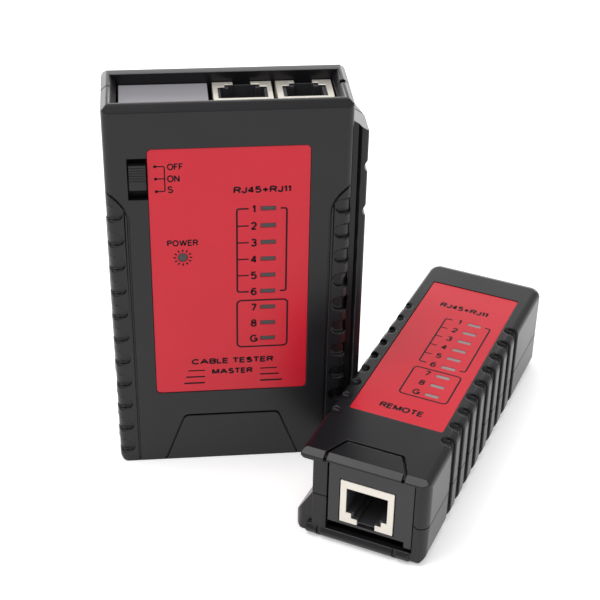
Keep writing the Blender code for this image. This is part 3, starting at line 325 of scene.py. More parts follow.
def ray_depth(point, direction, surface):
    """Distance from a point, along a direction, to an open line that stands for the case's surface."""
    best = None
    for a, b in zip(surface, surface[1:]):
        edge = Vector(b) - Vector(a)
        away = Vector(a) - Vector(point)
        cross = direction[0] * edge.y - direction[1] * edge.x
        if abs(cross) < 1e-9:
            continue
        distance = (away.x * edge.y - away.y * edge.x) / cross
        share = (away.x * direction[1] - away.y * direction[0]) / cross
        if -1e-6 <= share <= 1 + 1e-6 and (best is None or abs(distance) < abs(best)):
            best = distance
    return best if best is not None else -THROUGH


def groove_profile(depth, half):
    """(across, height) points from the middle of a groove's floor to above the surface."""
    depth = max(depth, 0.0)
    rim, floor = min(RIM_R, depth / 2), min(FLOOR_R, depth / 2)
    points = [(0.0, 0.0)] + [(half - a, d) for a, d in quarter(floor)]
    points += [(half + a, depth - d) for a, d in reversed(quarter(rim))]
    return points + [(half + rim, depth + THROUGH), (0.0, depth + THROUGH)]


def groove(stations, half, middle, lift, fan=12):
    """Cutter for a groove with a round inner end.

    stations: (floor point, outward direction, depth) along its run, in the plane that lift maps to 3-D.
    middle: where it lies along the third axis. lift(point, third) makes the 3-D point.
    """
    start, outward, depth = stations[0]
    back = (Vector(start) - Vector(stations[1][0])).normalized()
    rows = []

    def row(station, sign):
        floor, normal, deep = station
        return [lift((floor[0] + normal[0] * h, floor[1] + normal[1] * h), middle + sign * s)
                for s, h in groove_profile(deep, half)]

    rows += [row(station, 1) for station in reversed(stations)]
    for i in range(1, fan):
        angle = pi * i / fan
        rows.append([lift((start[0] + outward[0] * h + back.x * s * sin(angle),
                           start[1] + outward[1] * h + back.y * s * sin(angle)),
                          middle + s * cos(angle)) for s, h in groove_profile(depth, half)])
    rows += [row(station, -1) for station in stations]
    bm = bmesh.new()
    verts = [[bm.verts.new(p) for p in points] for points in rows]
    for a, b in zip(verts, verts[1:]):
        for k in range(len(a) - 1):
            bm.faces.new((a[k], b[k], b[k + 1], a[k + 1]))
    bm.faces.new(verts[0] + verts[-1][::-1])
    bmesh.ops.remove_doubles(bm, verts=bm.verts, dist=1e-4)
    bmesh.ops.dissolve_degenerate(bm, edges=bm.edges, dist=1e-4)
    return face_out(bm)


# ---- working objects ----

def link(thing):
    bpy.context.scene.collection.objects.link(thing)
    return thing


def work(bm, name="work"):
    """Object that holds a mesh; the mesh itself is used up."""
    mesh = bpy.data.meshes.new(name)
    bm.to_mesh(mesh)
    bm.free()
    return link(bpy.data.objects.new(name, mesh))


def modify(thing, kind, **settings):
    modifier = thing.modifiers.new(kind.lower(), kind)
    for name, value in settings.items():
        setattr(modifier, name, value)


def cut(thing, *meshes, operation="DIFFERENCE"):
    for bm in meshes:
        modify(thing, "BOOLEAN", operation=operation, solver="EXACT", object=work(bm))


def join(thing, *meshes):
    cut(thing, *meshes, operation="UNION")


def applied(thing):
    """Mesh of an object with its modifiers, after which the object and its tools are gone."""
    bpy.context.view_layer.update()
    graph = bpy.context.evaluated_depsgraph_get()
    bm = bmesh.new()
    bm.from_mesh(thing.evaluated_get(graph).to_mesh())
    for modifier in thing.modifiers:
        bpy.data.objects.remove(modifier.object)
    bpy.data.objects.remove(thing)
    return bm


def soften(thing, width, sharpest=32):
    """Mesh of an object after its Booleans, cleaned and with its outer edges rounded."""
    bm = applied(thing)
    bmesh.ops.remove_doubles(bm, verts=bm.verts, dist=2e-3)
    bmesh.ops.dissolve_degenerate(bm, edges=bm.edges, dist=5e-3)
    bmesh.ops.dissolve_limit(bm, angle_limit=radians(0.4), verts=bm.verts, edges=bm.edges)
    limit = radians(sharpest)
    edges = [e for e in bm.edges if len(e.link_faces) == 2 and e.calc_face_angle_signed(0.0) > limit]
    bmesh.ops.bevel(bm, geom=edges, offset=width, offset_type="OFFSET", segments=2, profile=0.5,
                    affect="EDGES", clamp_overlap=False)
    return bm


def piece(name, bm, finish, placing, body, replaced=()):
    """Turn a mesh in millimetres into a finished piece that rides on a body."""
    thing = work(bm, name)
    thing.data.transform(placing @ Matrix.Scale(MM, 4))
    thing.data.materials.append(finishes[finish])
    thing.data.shade_smooth()
    thing.data.set_sharp_from_angle(angle=radians(SHARP_ANGLE))
    modify(thing, "WEIGHTED_NORMAL", keep_sharp=True)
    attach(thing, body)
    if replaced:
        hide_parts(*replaced)
        replaced_nodes.update(replaced)


# ---- finishes ----

class Finish:
    """A material with its nodes; texture coordinates are the piece's own."""

    def __init__(self, name):
        self.material = bpy.data.materials.new(name)
        self.material.use_nodes = True
        self.nodes = self.material.node_tree.nodes
        self.link = self.material.node_tree.links.new
        self.inputs = self.nodes["Principled BSDF"].inputs

    def set(self, node=None, **values):
        for name, value in values.items():
            (node or self).inputs[name.replace("_", " ")].default_value = value
        return node

    def add(self, kind, **values):
        return self.set(self.nodes.new(kind), **values)

    def noise(self, vector, scale, detail):
        texture = self.add("ShaderNodeTexNoise", Scale=scale, Detail=detail)
        self.link(vector, texture.inputs["Vector"])
        return texture.outputs["Fac"]

    def vary(self, source, dark, light, roughness):
        """Let tone and polish follow a 0 to 1 value."""
        ramp = self.nodes.new("ShaderNodeValToRGB")
        for element, place, tone in zip(ramp.color_ramp.elements, (NOISE_LOW, NOISE_HIGH), (dark, light)):
            element.position = place
            element.color = (*tone, 1.0)
        self.link(source, ramp.inputs["Fac"])
        self.link(ramp.outputs["Color"], self.inputs["Base Color"])
        polish = self.add("ShaderNodeMapRange", From_Min=NOISE_LOW, From_Max=NOISE_HIGH,
                          To_Min=roughness[0], To_Max=roughness[1])
        self.link(source, polish.inputs["Value"])
        self.link(polish.outputs["Result"], self.inputs["Roughness"])

    def bump(self, height, strength):
        bump = self.add("ShaderNodeBump", Strength=strength, Distance=BUMP_DEPTH)
        self.link(height, bump.inputs["Height"])
        self.link(bump.outputs["Normal"], self.inputs["Normal"])


def plastic(name, dark, light, roughness, strength=0.25, specular=0.5, grain=2600.0):
    """Moulded plastic: fine spark texture, slight change of tone and of polish across the surface."""
    finish = Finish(name)
    finish.set(Specular_IOR_Level=specular)
    where = finish.nodes.new("ShaderNodeTexCoord").outputs["Object"]
    finish.vary(finish.noise(where, 60.0, 3.0), dark, light, roughness)
    finish.bump(finish.noise(where, grain, 1.0), strength)
    return finish.material


def metal(name, dark, light, roughness, metallic=1.0):
    """Metal sheet with a faint drawn grain."""
    finish = Finish(name)
    finish.set(Metallic=metallic)
    stretch = finish.add("ShaderNodeMapping", Scale=(900.0, 900.0, 60.0))
    finish.link(finish.nodes.new("ShaderNodeTexCoord").outputs["Object"], stretch.inputs["Vector"])
    streaks = finish.noise(stretch.outputs["Vector"], 1.0, 3.0)
    finish.vary(streaks, dark, light, roughness)
    finish.bump(streaks, 0.15)
    return finish.material


def make_finishes():
    """Each finish by name, from its darker and lighter tone, range of roughness and what is its own."""
    plastics = {
        "case_black": ((0.0075, 0.007, 0.0085), (0.0105, 0.0098, 0.0118), (0.26, 0.32), 0.2, 0.34),
        "panel_black": ((0.01, 0.01, 0.012), (0.013, 0.012, 0.015), (0.16, 0.2), 0.08),
        "plate_grey": ((0.245, 0.236, 0.256), (0.255, 0.246, 0.266), (0.44, 0.46), 0.1),
        "label_red": ((0.57, 0.0055, 0.021), (0.61, 0.008, 0.025), (0.28, 0.34), 0.12, 0.36, 1500.0),
        "ink": ((0.012, 0.005, 0.008), (0.018, 0.008, 0.011), (0.45, 0.55), 0.25, 0.12),
        # switch frame: a duller black, partly its own finish and partly painted shade, darkened to stand
        # for the shade in the switch recess
        "switch_black_painted_shade": ((0.004, 0.004, 0.0048), (0.006, 0.006, 0.007), (0.5, 0.6), 0.25, 0.15),
        "lens_dark": ((0.055, 0.045, 0.047), (0.068, 0.056, 0.058), (0.34, 0.4), 0.1, 0.3),
        "lens_pale": ((0.26, 0.21, 0.21), (0.32, 0.26, 0.26), (0.2, 0.28), 0.1),
        "insert_black": ((0.03, 0.03, 0.034), (0.045, 0.045, 0.05), (0.42, 0.5)),
        "board_green": ((0.01, 0.1, 0.035), (0.014, 0.14, 0.05), (0.3, 0.4)),
        "battery_wrap": ((0.02, 0.04, 0.16), (0.03, 0.06, 0.2), (0.28, 0.34)),
        "lead_red": ((0.5, 0.01, 0.01), (0.58, 0.02, 0.02), (0.42, 0.5)),
        "lead_black": ((0.015, 0.015, 0.016), (0.02, 0.02, 0.022), (0.45, 0.55)),
    }
    metals = {
        "nickel": ((0.72, 0.68, 0.61), (0.78, 0.75, 0.68), (0.42, 0.5), 0.75),
        "gold": ((0.75, 0.52, 0.2), (0.85, 0.62, 0.28), (0.22, 0.3)),
        "steel": ((0.5, 0.5, 0.51), (0.62, 0.62, 0.62), (0.28, 0.4)),
    }
    made = {name: plastic(name, *values) for name, values in plastics.items()}
    made.update({name: metal(name, *values) for name, values in metals.items()})
    return made


# ---- master shells ----

def rail_profile():
    root, tip = HALF_W - 1.0, HALF_W + RAIL_OUT
    slope = (RAIL_ROOT_REAR_Y - RAIL_TIP_REAR_Y) / RAIL_OUT
    step = [(tip - x, RAIL_FRONT_Y + y) for x, y in RAIL_STEP]
    nose = arc((tip - RAIL_NOSE_R, RAIL_FRONT_Y + RAIL_NOSE_R), RAIL_NOSE_R, -90, 0, 6)
    heel = arc((tip - RAIL_HEEL_R, RAIL_TIP_REAR_Y - RAIL_HEEL_RISE), RAIL_HEEL_R, 0, 40, 4)
    return [(root, RAIL_GROOVE_Y)] + step + nose + heel + [(root, RAIL_ROOT_REAR_Y + slope)]


def rail(front, rear):
    bm = prism(rail_profile(), "z", RAIL_BOTTOM, RAIL_TOP + 1.0)
    slice_off(bm, (0, front, 0), NEAR)
    slice_off(bm, (0, rear, 0), FAR)
    slice_off(bm, (HALF_W, 0, RAIL_TOP), (RAIL_RAMP, 0, 1))
    slice_off(bm, (HALF_W + RAIL_OUT, 0, RAIL_BOTTOM + RAIL_FOOT_CUT), (RAIL_FOOT_SLOPE, 0, -1))
    return bm


def rail_notches():
    reach = HALF_W + RAIL_OUT + RAIL_NOTCH_R - RAIL_NOTCH_DEPTH
    return rods([(reach, z) for z in RAIL_NOTCH_Z], RAIL_NOTCH_R, "y", 0, MASTER_D, 40)


def shell_blank(front, rear):
    bm = block((-HALF_W, front, 0), (HALF_W, rear, MASTER_H))
    for side in (-1, 1):
        outward = (side, 0, 0)
        slice_off(bm, (side * (HALF_W - TOP_SIDE_CHAMFER), 0, MASTER_H), (side, 0, 1))
        round_edge(bm, (side * HALF_W, 0, 0), outward, DOWN, FOOT_R)
        if front < FRONT_EDGE_R:
            round_edge(bm, (side * HALF_W, 0, 0), outward, NEAR, FRONT_EDGE_R)
        if rear > MASTER_D - REAR_EDGE_R:
            round_edge(bm, (side * HALF_W, MASTER_D, 0), outward, FAR, REAR_EDGE_R)
    slice_off(bm, (0, 0, MASTER_H - TOP_FRONT_CHAMFER), (0, -1, 1))
    slice_off(bm, (0, MASTER_D, MASTER_H - TOP_REAR_CHAMFER), (0, 1, 1))
    return bm


def recess(front, rear):
    """Cutter for the top recess, whose side walls lean outwards near the rim."""
    (foot_x, foot_z), (top_x, top_z) = RECESS_SLOPE
    run = THROUGH * (top_x - foot_x) / (top_z - foot_z)
    right = [(RECESS_HALF_W, RECESS_Z), (foot_x, foot_z), (top_x + run, top_z + THROUGH)]
    return prism([(-x, z) for x, z in right[::-1]] + right, "y", front, rear)


def master_grooves():
    """Grip channels on the face; each floor turns outwards and runs out at the case's side."""
    surface = [(0.0, 0.0)] + arc((HALF_W - FRONT_EDGE_R, FRONT_EDGE_R), FRONT_EDGE_R, -90, 0, 16)
    surface.append((HALF_W, MASTER_D))
    turn = (HALF_W - CHANNEL_TURN_R + CHANNEL_TURN_SHIFT, CHANNEL_DEPTH + CHANNEL_TURN_R)
    stations = [((CHANNEL_TIP_X + CHANNEL_HALF, CHANNEL_DEPTH), (0.0, -1.0), CHANNEL_DEPTH)]
    for i in range(1, 15):
        angle = radians(6.4 * i)
        outward = (sin(angle), -cos(angle))
        floor = (turn[0] + CHANNEL_TURN_R * outward[0], turn[1] + CHANNEL_TURN_R * outward[1])
        if floor[0] > stations[-1][0][0]:
            stations.append((floor, outward, ray_depth(floor, outward, surface)))
    return [[groove(stations, CHANNEL_HALF, z, lambda p, z, side=side: Vector((side * p[0], p[1], z)))
             for z in CHANNELS] for side in (-1, 1)]


def grip_border(side):
    edge = HALF_W + THROUGH
    line = [(edge, GRIP_BORDER_TOP), *GRIP_BORDER, (GRIP_BORDER[-1][0], -THROUGH)]
    return [(side * x, z) for x, z in rounded_line(line, GRIP_BORDER_R)]


def engraved(line, width, *way):
    """Cutter for a line in a surface; way is what sunk takes after its outline."""
    return sunk(lambda growth: ribbon(line, width + 2 * growth), *way)


def case(shell, unit, half, placing):
    """Finish one of the two shells of a unit."""
    piece(f"{unit}_{half}_case", soften(shell, SOFT), "case_black", placing, unit, [f"{unit}_{half}_shell"])


def label_pocket(x, y, radius, axis, surface, inward, rim):
    """Cutter for the shallow pocket under a label."""
    def outline(growth):
        reach = POCKET_GAP + growth
        return rounded_rectangle((x[0] - reach, y[0] - reach), (x[1] + reach, y[1] + reach), radius + reach)
    return sunk(outline, axis, surface, inward, POCKET_DEPTH, rim, POCKET_FLOOR)


def make_front_shell(placing):
    inner = HALF_W - WALL
    rear = MASTER_SPLIT - SEAM / 2
    past = rear + THROUGH
    shell = work(shell_blank(0, rear))
    join(shell, rail(RAIL_FRONT_Y - THROUGH, rear))
    cut(shell, block((-inner, WALL, WALL), (inner, past, LEDGE_Z)),
        block((-RECESS_HALF_W, LEDGE_Y, LEDGE_Z - THROUGH), (RECESS_HALF_W, past, RECESS_Z + THROUGH)),
        recess(RECESS_Y[0], past),
        block((RIM_NOTCH_X[0], RIM_NOTCH_Y, MASTER_H - RIM_NOTCH_DEPTH),
              (RIM_NOTCH_X[1], past, MASTER_H + THROUGH)))
    for spot in POST_SPOTS:
        join(shell, rod(spot, POST_R, "y", WALL / 2, rear))
    deep = WALL + THROUGH
    wide, high = LIGHT_SLOT
    cut(shell, rods(POST_SPOTS, POST_HOLE_R, "y", POST_HOLE_Y, past),
        label_pocket(LABEL_X, LABEL_Z, LABEL_R, "y", 0.0, 1, POCKET_RIM),
        merge([block((x - wide, 0, z - high), (x + wide, deep, z + high)) for x, z in LEDS]
              + [rod(POWER_LED, POWER_HOLE_R, "y", 0, deep)]),
        block((SWITCH_X[0], -THROUGH, SWITCH_Z[0]), (SWITCH_X[1], deep, SWITCH_Z[1])))
    line = LINE_W, "y", 0.0, 1, LINE_DEPTH, LINE_RIM, LINE_FLOOR
    for side, cutters in zip((-1, 1), master_grooves()):
        cut(shell, merge(cutters), engraved(grip_border(side), *line))
    cut(shell, engraved(rounded_line(FOOT_PAD, FOOT_PAD_R), *line), rail_notches())
    case(shell, "master", "front", placing)


def make_rear_shell(placing):
    inner = HALF_W - WALL
    front = MASTER_SPLIT + SEAM / 2
    before, past, back = front - THROUGH, MASTER_D + THROUGH, MASTER_D - WALL
    shell = work(shell_blank(front, MASTER_D))
    join(shell, rail(front, MASTER_D))
    cut(shell, block((-inner, before, WALL), (inner, back, RECESS_Z - THROUGH)),
        block((-RECESS_HALF_W, before, RECESS_Z - 2 * THROUGH),
              (RECESS_HALF_W, RECESS_Y[1], RECESS_Z + THROUGH)),
        recess(before, RECESS_Y[1]))
    reach = inner + WALL / 4
    join(shell, block((-reach, front, BAY_TOP), (reach, back + WALL / 4, BAY_TOP + SHELF_T)),
         block((-inner + GAP, SHELF_FRONT_Y, BAY_TOP), (inner - GAP, front + THROUGH, BAY_TOP + SHELF_T)))
    for spot in POST_SPOTS:
        join(shell, rod(spot, POST_R, "y", front, back + WALL / 4))
        cut(shell, rod(spot, POST_R + GAP, "y", SHELF_FRONT_Y - THROUGH, front))
    edge = DOOR_X + GAP
    low = DOOR_Z[0] - DOOR_T / 2 - GAP
    pin_end = edge + DOOR_PIN_REACH
    cut(shell, block((-edge, back - THROUGH, low), (edge, past, DOOR_Z[1] + GAP)),
        rod((MASTER_D - DOOR_T / 2, DOOR_Z[0]), DOOR_PIN_R + DOOR_PIN_GAP, "x", -pin_end, pin_end),
        rods(POST_SPOTS, REAR_HOLE_R, "y", before, past),
        rods(POST_SPOTS, SCREW_HEAD_HOLE_R, "y", SCREW_SEAT, past),
        rail_notches())
    case(shell, "master", "rear", placing)


# ---- remote shells ----

def work_ends(bm):
    along, down = REMOTE_FRONT_BEVEL
    slice_off(bm, (0, 0, REMOTE_H - down), (0, -down, along))
    round_edge(bm, (0, REMOTE_L, REMOTE_H), FAR, UP, REMOTE_FAR_TOP_R)
    round_edge(bm, (0, REMOTE_L, 0), FAR, DOWN, REMOTE_FAR_SOLE_R)
    round_edge(bm, (0, 0, 0), NEAR, DOWN, REMOTE_SOLE_R)


def round_corner(bm, x, side, side_r, steps=6):
    """Round the top of a far corner; the rounding grows from side_r to that of the far edge."""
    radius = REMOTE_FAR_R
    round_edge(bm, (x, REMOTE_L, 0), (side, 0, 0), FAR, radius)
    for i in range(1, steps + 1):
        turn = pi / 2 * i / steps
        fillet = side_r + (REMOTE_FAR_TOP_R - side_r) * i / steps
        for k in range(1, 5):
            lift = pi / 10 * k
            flat = Vector((side * cos(turn), sin(turn), 0.0))
            normal = flat * cos(lift) + Vector((0.0, 0.0, sin(lift)))
            middle = Vector((x - side * radius, REMOTE_L - radius, REMOTE_H - fillet))
            slice_off(bm, middle + flat * (radius - fillet) + normal * fillet, normal)


def remote_blank():
    bm = block((0, 0, 0), (REMOTE_W, REMOTE_L, REMOTE_H))
    round_edge(bm, (REMOTE_W, 0, 0), RIGHT, DOWN, REMOTE_FOOT_R, 9)
    round_edge(bm, (REMOTE_W, 0, REMOTE_H), RIGHT, UP, REMOTE_TOP_R)
    round_edge(bm, (REMOTE_W, 0, 0), RIGHT, NEAR, REMOTE_END_R)
    work_ends(bm)
    round_corner(bm, REMOTE_W, 1, REMOTE_TOP_R)
    round_corner(bm, -LIP_OUT * (1.0 - LIP_TAPER), -1, LIP_T / 2)
    return bm


def taper(bm, share):
    """Draw in what stands out to the left, by a share of its reach at the far end."""
    for vert in bm.verts:
        if vert.co.x < 0 and vert.co.y > REMOTE_L / 2:
            vert.co.x *= 1.0 - share


def dock_lip():
    nose = LIP_T / 2
    outline = [(1.0, REMOTE_H)] + arc((-LIP_OUT + nose, REMOTE_H - nose), nose, 90, 270, 16) \
        + [(1.0, REMOTE_H - LIP_T)]
    bm = prism(outline, "y", 0, REMOTE_L)
    taper(bm, LIP_TAPER)
    work_ends(bm)
    round_corner(bm, -LIP_OUT * (1.0 - LIP_TAPER), -1, LIP_T / 2)
    return bm


def dock_flange():
    top = SEAM_LINE[0][1] - SEAM / 2
    edge = [(-FLANGE_OUT + x, z) for x, z in FLANGE_EDGE]
    foot = arc((-FLANGE_OUT + FLANGE_FOOT_R, FLANGE_FOOT_R), FLANGE_FOOT_R, 180, 270, 7)
    outline = [(1.0, top), (0.0, top)] + edge + foot + [(1.0, 0.0)]
    bm = prism(outline, "y", FLANGE_START, REMOTE_L)
    taper(bm, FLANGE_TAPER)
    round_edge(bm, (-FLANGE_OUT, FLANGE_START, 0), LEFT, NEAR, FLANGE_NEAR_R)
    work_ends(bm)
    round_edge(bm, (-FLANGE_OUT * (1.0 - FLANGE_TAPER), REMOTE_L, 0), LEFT, FAR, REMOTE_FAR_R)
    return bm


def front_lip():
    """Ledge along the foot of the jack end, notched near both ends."""
    bm = prism(FRONT_LIP, "x", *FRONT_LIP_X)
    slice_off(bm, (FRONT_LIP_X[1], -0.3, 0), (1, -1, 0))
    return bm


def half_space(above):
    """Cutter for everything above or below the joint between the remote's shells."""
    shift = SEAM / 2 if above else -SEAM / 2
    line = [(x, z - shift) for x, z in SEAM_LINE]
    limit = REMOTE_H + 2 * THROUGH if above else -2 * THROUGH
    outline = line + [(line[-1][0], limit), (line[0][0], limit)]
    return prism(outline, "y", -THROUGH, REMOTE_L + THROUGH)


def remote_grooves():
    """Grip channels that start on the top, turn the long edge and run down the side."""
    top_arc = arc((REMOTE_W - REMOTE_TOP_R, REMOTE_H - REMOTE_TOP_R), REMOTE_TOP_R, 90, 0, 12)
    foot_arc = arc((REMOTE_W - REMOTE_FOOT_R, REMOTE_FOOT_R), REMOTE_FOOT_R, 0, -90, 12)
    surface = [(0.0, REMOTE_H)] + top_arc + foot_arc
    start = (REMOTE_CHANNEL_TIP + REMOTE_CHANNEL_HALF, REMOTE_H - CHANNEL_DEPTH)
    inner_r = REMOTE_W - CHANNEL_DEPTH - start[0]
    turn = (start[0], start[1] - inner_r)
    stations = [(start, (0.0, 1.0), CHANNEL_DEPTH)]
    for i in range(1, 8):
        angle = radians(90 * i / 7)
        outward = (sin(angle), cos(angle))
        floor = (turn[0] + inner_r * outward[0], turn[1] + inner_r * outward[1])
        stations.append((floor, outward, ray_depth(floor, outward, surface)))
    floor_x = REMOTE_W - CHANNEL_DEPTH
    for z in (20.0, 12.0, REMOTE_FOOT_R, 3.6, 2.8, 2.2, 1.8, 1.5, 1.0):
        stations.append(((floor_x, z), (1.0, 0.0), ray_depth((floor_x, z), (1.0, 0.0), surface)))
    return [groove(stations, REMOTE_CHANNEL_HALF, y, lambda p, y: Vector((p[0], y, p[1])))
            for y in REMOTE_CHANNELS]


def lip_slots():
    """Round-ended channels in the top face that run out through the lip's nose."""
    half = REMOTE_CHANNEL_HALF
    cutters = []
    for y in REMOTE_CHANNELS:
        def outline(growth, y=y):
            points = arc((-0.3 - half, y), half + growth, -90, 90, 10)
            edge = -LIP_OUT - THROUGH
            return points + [(edge, points[-1][1]), (edge, points[0][1])]
        cutters.append(sunk(outline, "z", REMOTE_H, -1, CHANNEL_DEPTH, RIM_R, FLOOR_R))
    return merge(cutters)


def remote_pad_line():
    along = REMOTE_FRONT_BEVEL[0]
    left, right = PAD_LINE_X
    return rounded_line([(left, -THROUGH), (left, along), *PAD_LINE_FAR, (right, along), (right, -THROUGH)],
                        PAD_LINE_R)


def make_remote_top(placing):
    shell = work(remote_blank())
    join(shell, dock_lip())
    cut(shell, half_space(False))
    low = SEAM_LINE[-1][1] - 2 * THROUGH
    cut(shell, block((WALL, WALL, low), (REMOTE_W - WALL, REMOTE_L - WALL, REMOTE_H - WALL)),
        block((END_OPENING[0], -THROUGH, low), (END_OPENING[1], WALL + THROUGH, END_PANEL_TOP + GAP / 2)))
    for spot in REMOTE_POSTS:
        join(shell, rod(spot, TOP_POST_R, "z", TOP_POST_END, REMOTE_H - WALL / 2))
    wide, long = LIGHT_SLOT
    half = PAD_LINE_W / 2
    cut(shell, rods(REMOTE_POSTS, TOP_HOLE_R, "z", low, REMOTE_H - TOP_HOLE_ROOF),
        label_pocket(REMOTE_LABEL_X, REMOTE_LABEL_Y, REMOTE_LABEL_R, "z", REMOTE_H, -1, REMOTE_POCKET_RIM),
        merge([block((x - wide, y - long, REMOTE_H - WALL - THROUGH), (x + wide, y + long, REMOTE_H))
               for x, y in REMOTE_LEDS]),
        merge(remote_grooves()), lip_slots(),
        engraved(remote_pad_line(), PAD_LINE_W, "z", REMOTE_H, -1, PAD_LINE_DEPTH, PAD_LINE_RIM,
                 PAD_LINE_FLOOR),
        merge([block((x - half, -THROUGH, z), (x + half, PAD_LINE_NOTCH, REMOTE_H + THROUGH))
               for x, z in zip(PAD_LINE_X, PAD_LINE_LOW)]))
    case(shell, "remote", "top", placing)


def make_remote_bottom(placing):
    shell = work(remote_blank())
    join(shell, dock_flange())
    join(shell, front_lip())
    cut(shell, half_space(True))
    high = SEAM_LINE[0][1] + THROUGH
    cut(shell, block((WALL, WALL, WALL), (REMOTE_W - WALL, REMOTE_L - WALL, high)),
        block((END_OPENING[0], -THROUGH, END_GAP_Z), (END_OPENING[1], WALL + THROUGH, high)))
    for spot in REMOTE_POSTS:
        join(shell, rod(spot, BASE_POST_R, "z", WALL / 2, BASE_POST_END))
    half = FRONT_LIP_NOTCH_HALF
    cut(shell, rods(REMOTE_POSTS, BASE_HOLE_R, "z", -THROUGH, high),
        rods(REMOTE_POSTS, BASE_HEAD_R, "z", -THROUGH, BASE_HEAD_DEPTH),
        merge(remote_grooves()),
        merge([block((x - half, -2.0, -THROUGH), (x + half, 0.1, END_GAP_Z + 0.2))
               for x in FRONT_LIP_NOTCHES]))
    case(shell, "remote", "bottom", placing)


# ---- labels and their print ----

# from flat label coordinates to each unit's frame, in metres
ON_MASTER = Matrix(((1, 0, 0, 0), (0, 0, -1, LABEL_SUNK * MM), (0, 1, 0, 0), (0, 0, 0, 1)))
ON_REMOTE = Matrix.Translation((0, 0, (REMOTE_H - LABEL_SUNK) * MM))


def window_outline(x, y, width=WINDOW_W, height=WINDOW_H):
    return rounded_rectangle((x - width / 2, y - height / 2), (x + width / 2, y + height / 2), WINDOW_R, 3)


def label_sheet(x, y, radius, windows, hole=None):
    """Printed sheet with a window over each light, drawn flat with its face at height 0."""
    sheet = work(prism(rounded_rectangle(*zip(x, y), radius), "z", -LABEL_T, 0.0))
    tools = [prism(window_outline(*spot), "z", -THROUGH, THROUGH) for spot in windows]
    if hole:
        tools.append(rod(hole, POWER_LED_R, "z", -THROUGH, THROUGH, 40))
    cut(sheet, merge(tools))
    return soften(sheet, 0.06, 60)


def oval(x, y, rx, ry, start, end, steps=10):
    """Arc of an ellipse in a letter's unit box."""
    return [(x + rx * px, y + ry * py) for px, py in arc((0.0, 0.0), 1.0, start, end, steps)]


def legs(*points):
    """Each stretch of an open line as a stroke of its own."""
    return [list(pair) for pair in zip(points, points[1:])]


# each letter as (width, lines along the middle of its strokes), all in a box one unit high
bowl = [(0, 1)] + oval(0.6, 0.76, 0.4, 0.24, 90, -90, 6) + [(0, 0.52)]
stem = [(0, 0), (0, 1)]
ring = (0.5, 0.5, 0.5, 0.5)
LETTERS = {
    "A": (1.16, legs((0, 0), (0.5, 1), (1, 0)) + [[(0.17, 0.32), (0.83, 0.32)]]),
    "B": (0.88, [stem, bowl, [(0.55, 0.52)] + oval(0.6, 0.26, 0.4, 0.26, 90, -90, 6) + [(0, 0)]]),
    "C": (0.98, [oval(0.53, 0.5, 0.53, 0.5, 34, 326, 16)]),
    "E": (0.78, [[(1, 1), (0, 1), (0, 0), (1, 0)], [(0, 0.52), (0.9, 0.52)]]),
    "F": (0.74, [[(1, 1), (0, 1), (0, 0)], [(0, 0.52), (0.85, 0.52)]]),
    "G": (1.0, [oval(*ring, 42, 330, 16), [(0.55, 0.46), (1.0, 0.46), (1.0, 0.02)]]),
    "J": (0.66, [[(1, 1), (1, 0.32)] + oval(0.5, 0.32, 0.5, 0.32, 0, -180, 8)[1:]]),
    "L": (0.7, [[(0, 1), (0, 0), (1, 0)]]),
    "M": (1.05, legs((0, 0), (0, 1), (0.5, 0.05), (1, 1), (1, 0))),
    "N": (0.9, legs((0, 0), (0, 1), (1, 0), (1, 1))),
    "O": (1.05, [oval(*ring, 90, 450, 22)]),
    "P": (0.82, [stem, bowl]),
    "R": (0.88, [stem, bowl, [(0.58, 0.52), (1, 0)]]),
    "S": (0.85, [oval(0.5, 0.76, 0.46, 0.24, 25, 270, 9) + oval(0.5, 0.26, 0.5, 0.26, 90, -155, 9)[1:]]),
    "T": (0.86, [[(0, 1), (1, 1)], [(0.5, 1), (0.5, 0)]]),
    "W": (1.35, legs((0, 1), (0.27, 0), (0.5, 1), (0.73, 0), (1, 1))),
    "1": (0.42, [[(0.1, 0.72), (0.95, 1)], [(0.95, 1.05), (0.95, 0)]]),
    "2": (0.76, [oval(0.5, 0.7, 0.48, 0.3, 165, -35, 9), [(0.93, 0.58), (0.05, 0)], [(0, 0), (1, 0)]]),
    "3": (0.76, [oval(0.48, 0.76, 0.44, 0.24, 150, -90, 8), oval(0.48, 0.26, 0.52, 0.26, 90, -155, 8)]),
    "4": (0.8, legs((0.72, 0), (0.72, 1), (0, 0.26), (1, 0.26))),
    "5": (0.76, [[(0.92, 1), (0.14, 1), (0.06, 0.48)], oval(0.48, 0.32, 0.52, 0.32, 140, -150, 10)]),
    "6": (0.76, [oval(0.5, 0.3, 0.5, 0.3, 0, 360, 14), oval(0.58, 0.45, 0.58, 0.55, 50, 195, 7)]),
    "7": (0.74, legs((0, 1), (1, 1), (0.35, 0))),
    "8": (0.78, [oval(0.5, 0.77, 0.42, 0.23, 0, 360, 14), oval(0.5, 0.27, 0.5, 0.27, 0, 360, 14)]),
    "+": (0.84, [[(0, 0.45), (1, 0.45)], [(0.5, 0.05), (0.5, 0.85)]]),
}
SPACE, BETWEEN = 0.38, 0.03  # a space's width and the gap after a letter, for one unit of height


def words(text, low, high, weight):
    """Lettering that fills a box on a label; weight is a stroke's share of the height."""
    across, up = INK_SPREAD
    low, high = (low[0] - across, low[1] - up), (high[0] + across, high[1] + up)
    height = high[1] - low[1]
    thick = weight * height
    total = sum(LETTERS[c][0] if c != " " else SPACE for c in text) + BETWEEN * (len(text) - 1)
    unit = (high[0] - low[0]) / total
    marks, x = [], low[0]
    for c in text:
        if c == " ":
            x += (SPACE + BETWEEN) * unit
            continue
        width, lines = LETTERS[c]
        across, up = width * unit - thick, height - thick
        for line in lines:
            points = [(x + thick / 2 + px * across, low[1] + thick / 2 + py * up) for px, py in line]
            marks.append(flat_ink(ribbon(points, thick)))
        x += (width + BETWEEN) * unit
    return merge(marks)


def flat_ink(outline):
    return prism(outline, "z", -INK_T, INK_T)


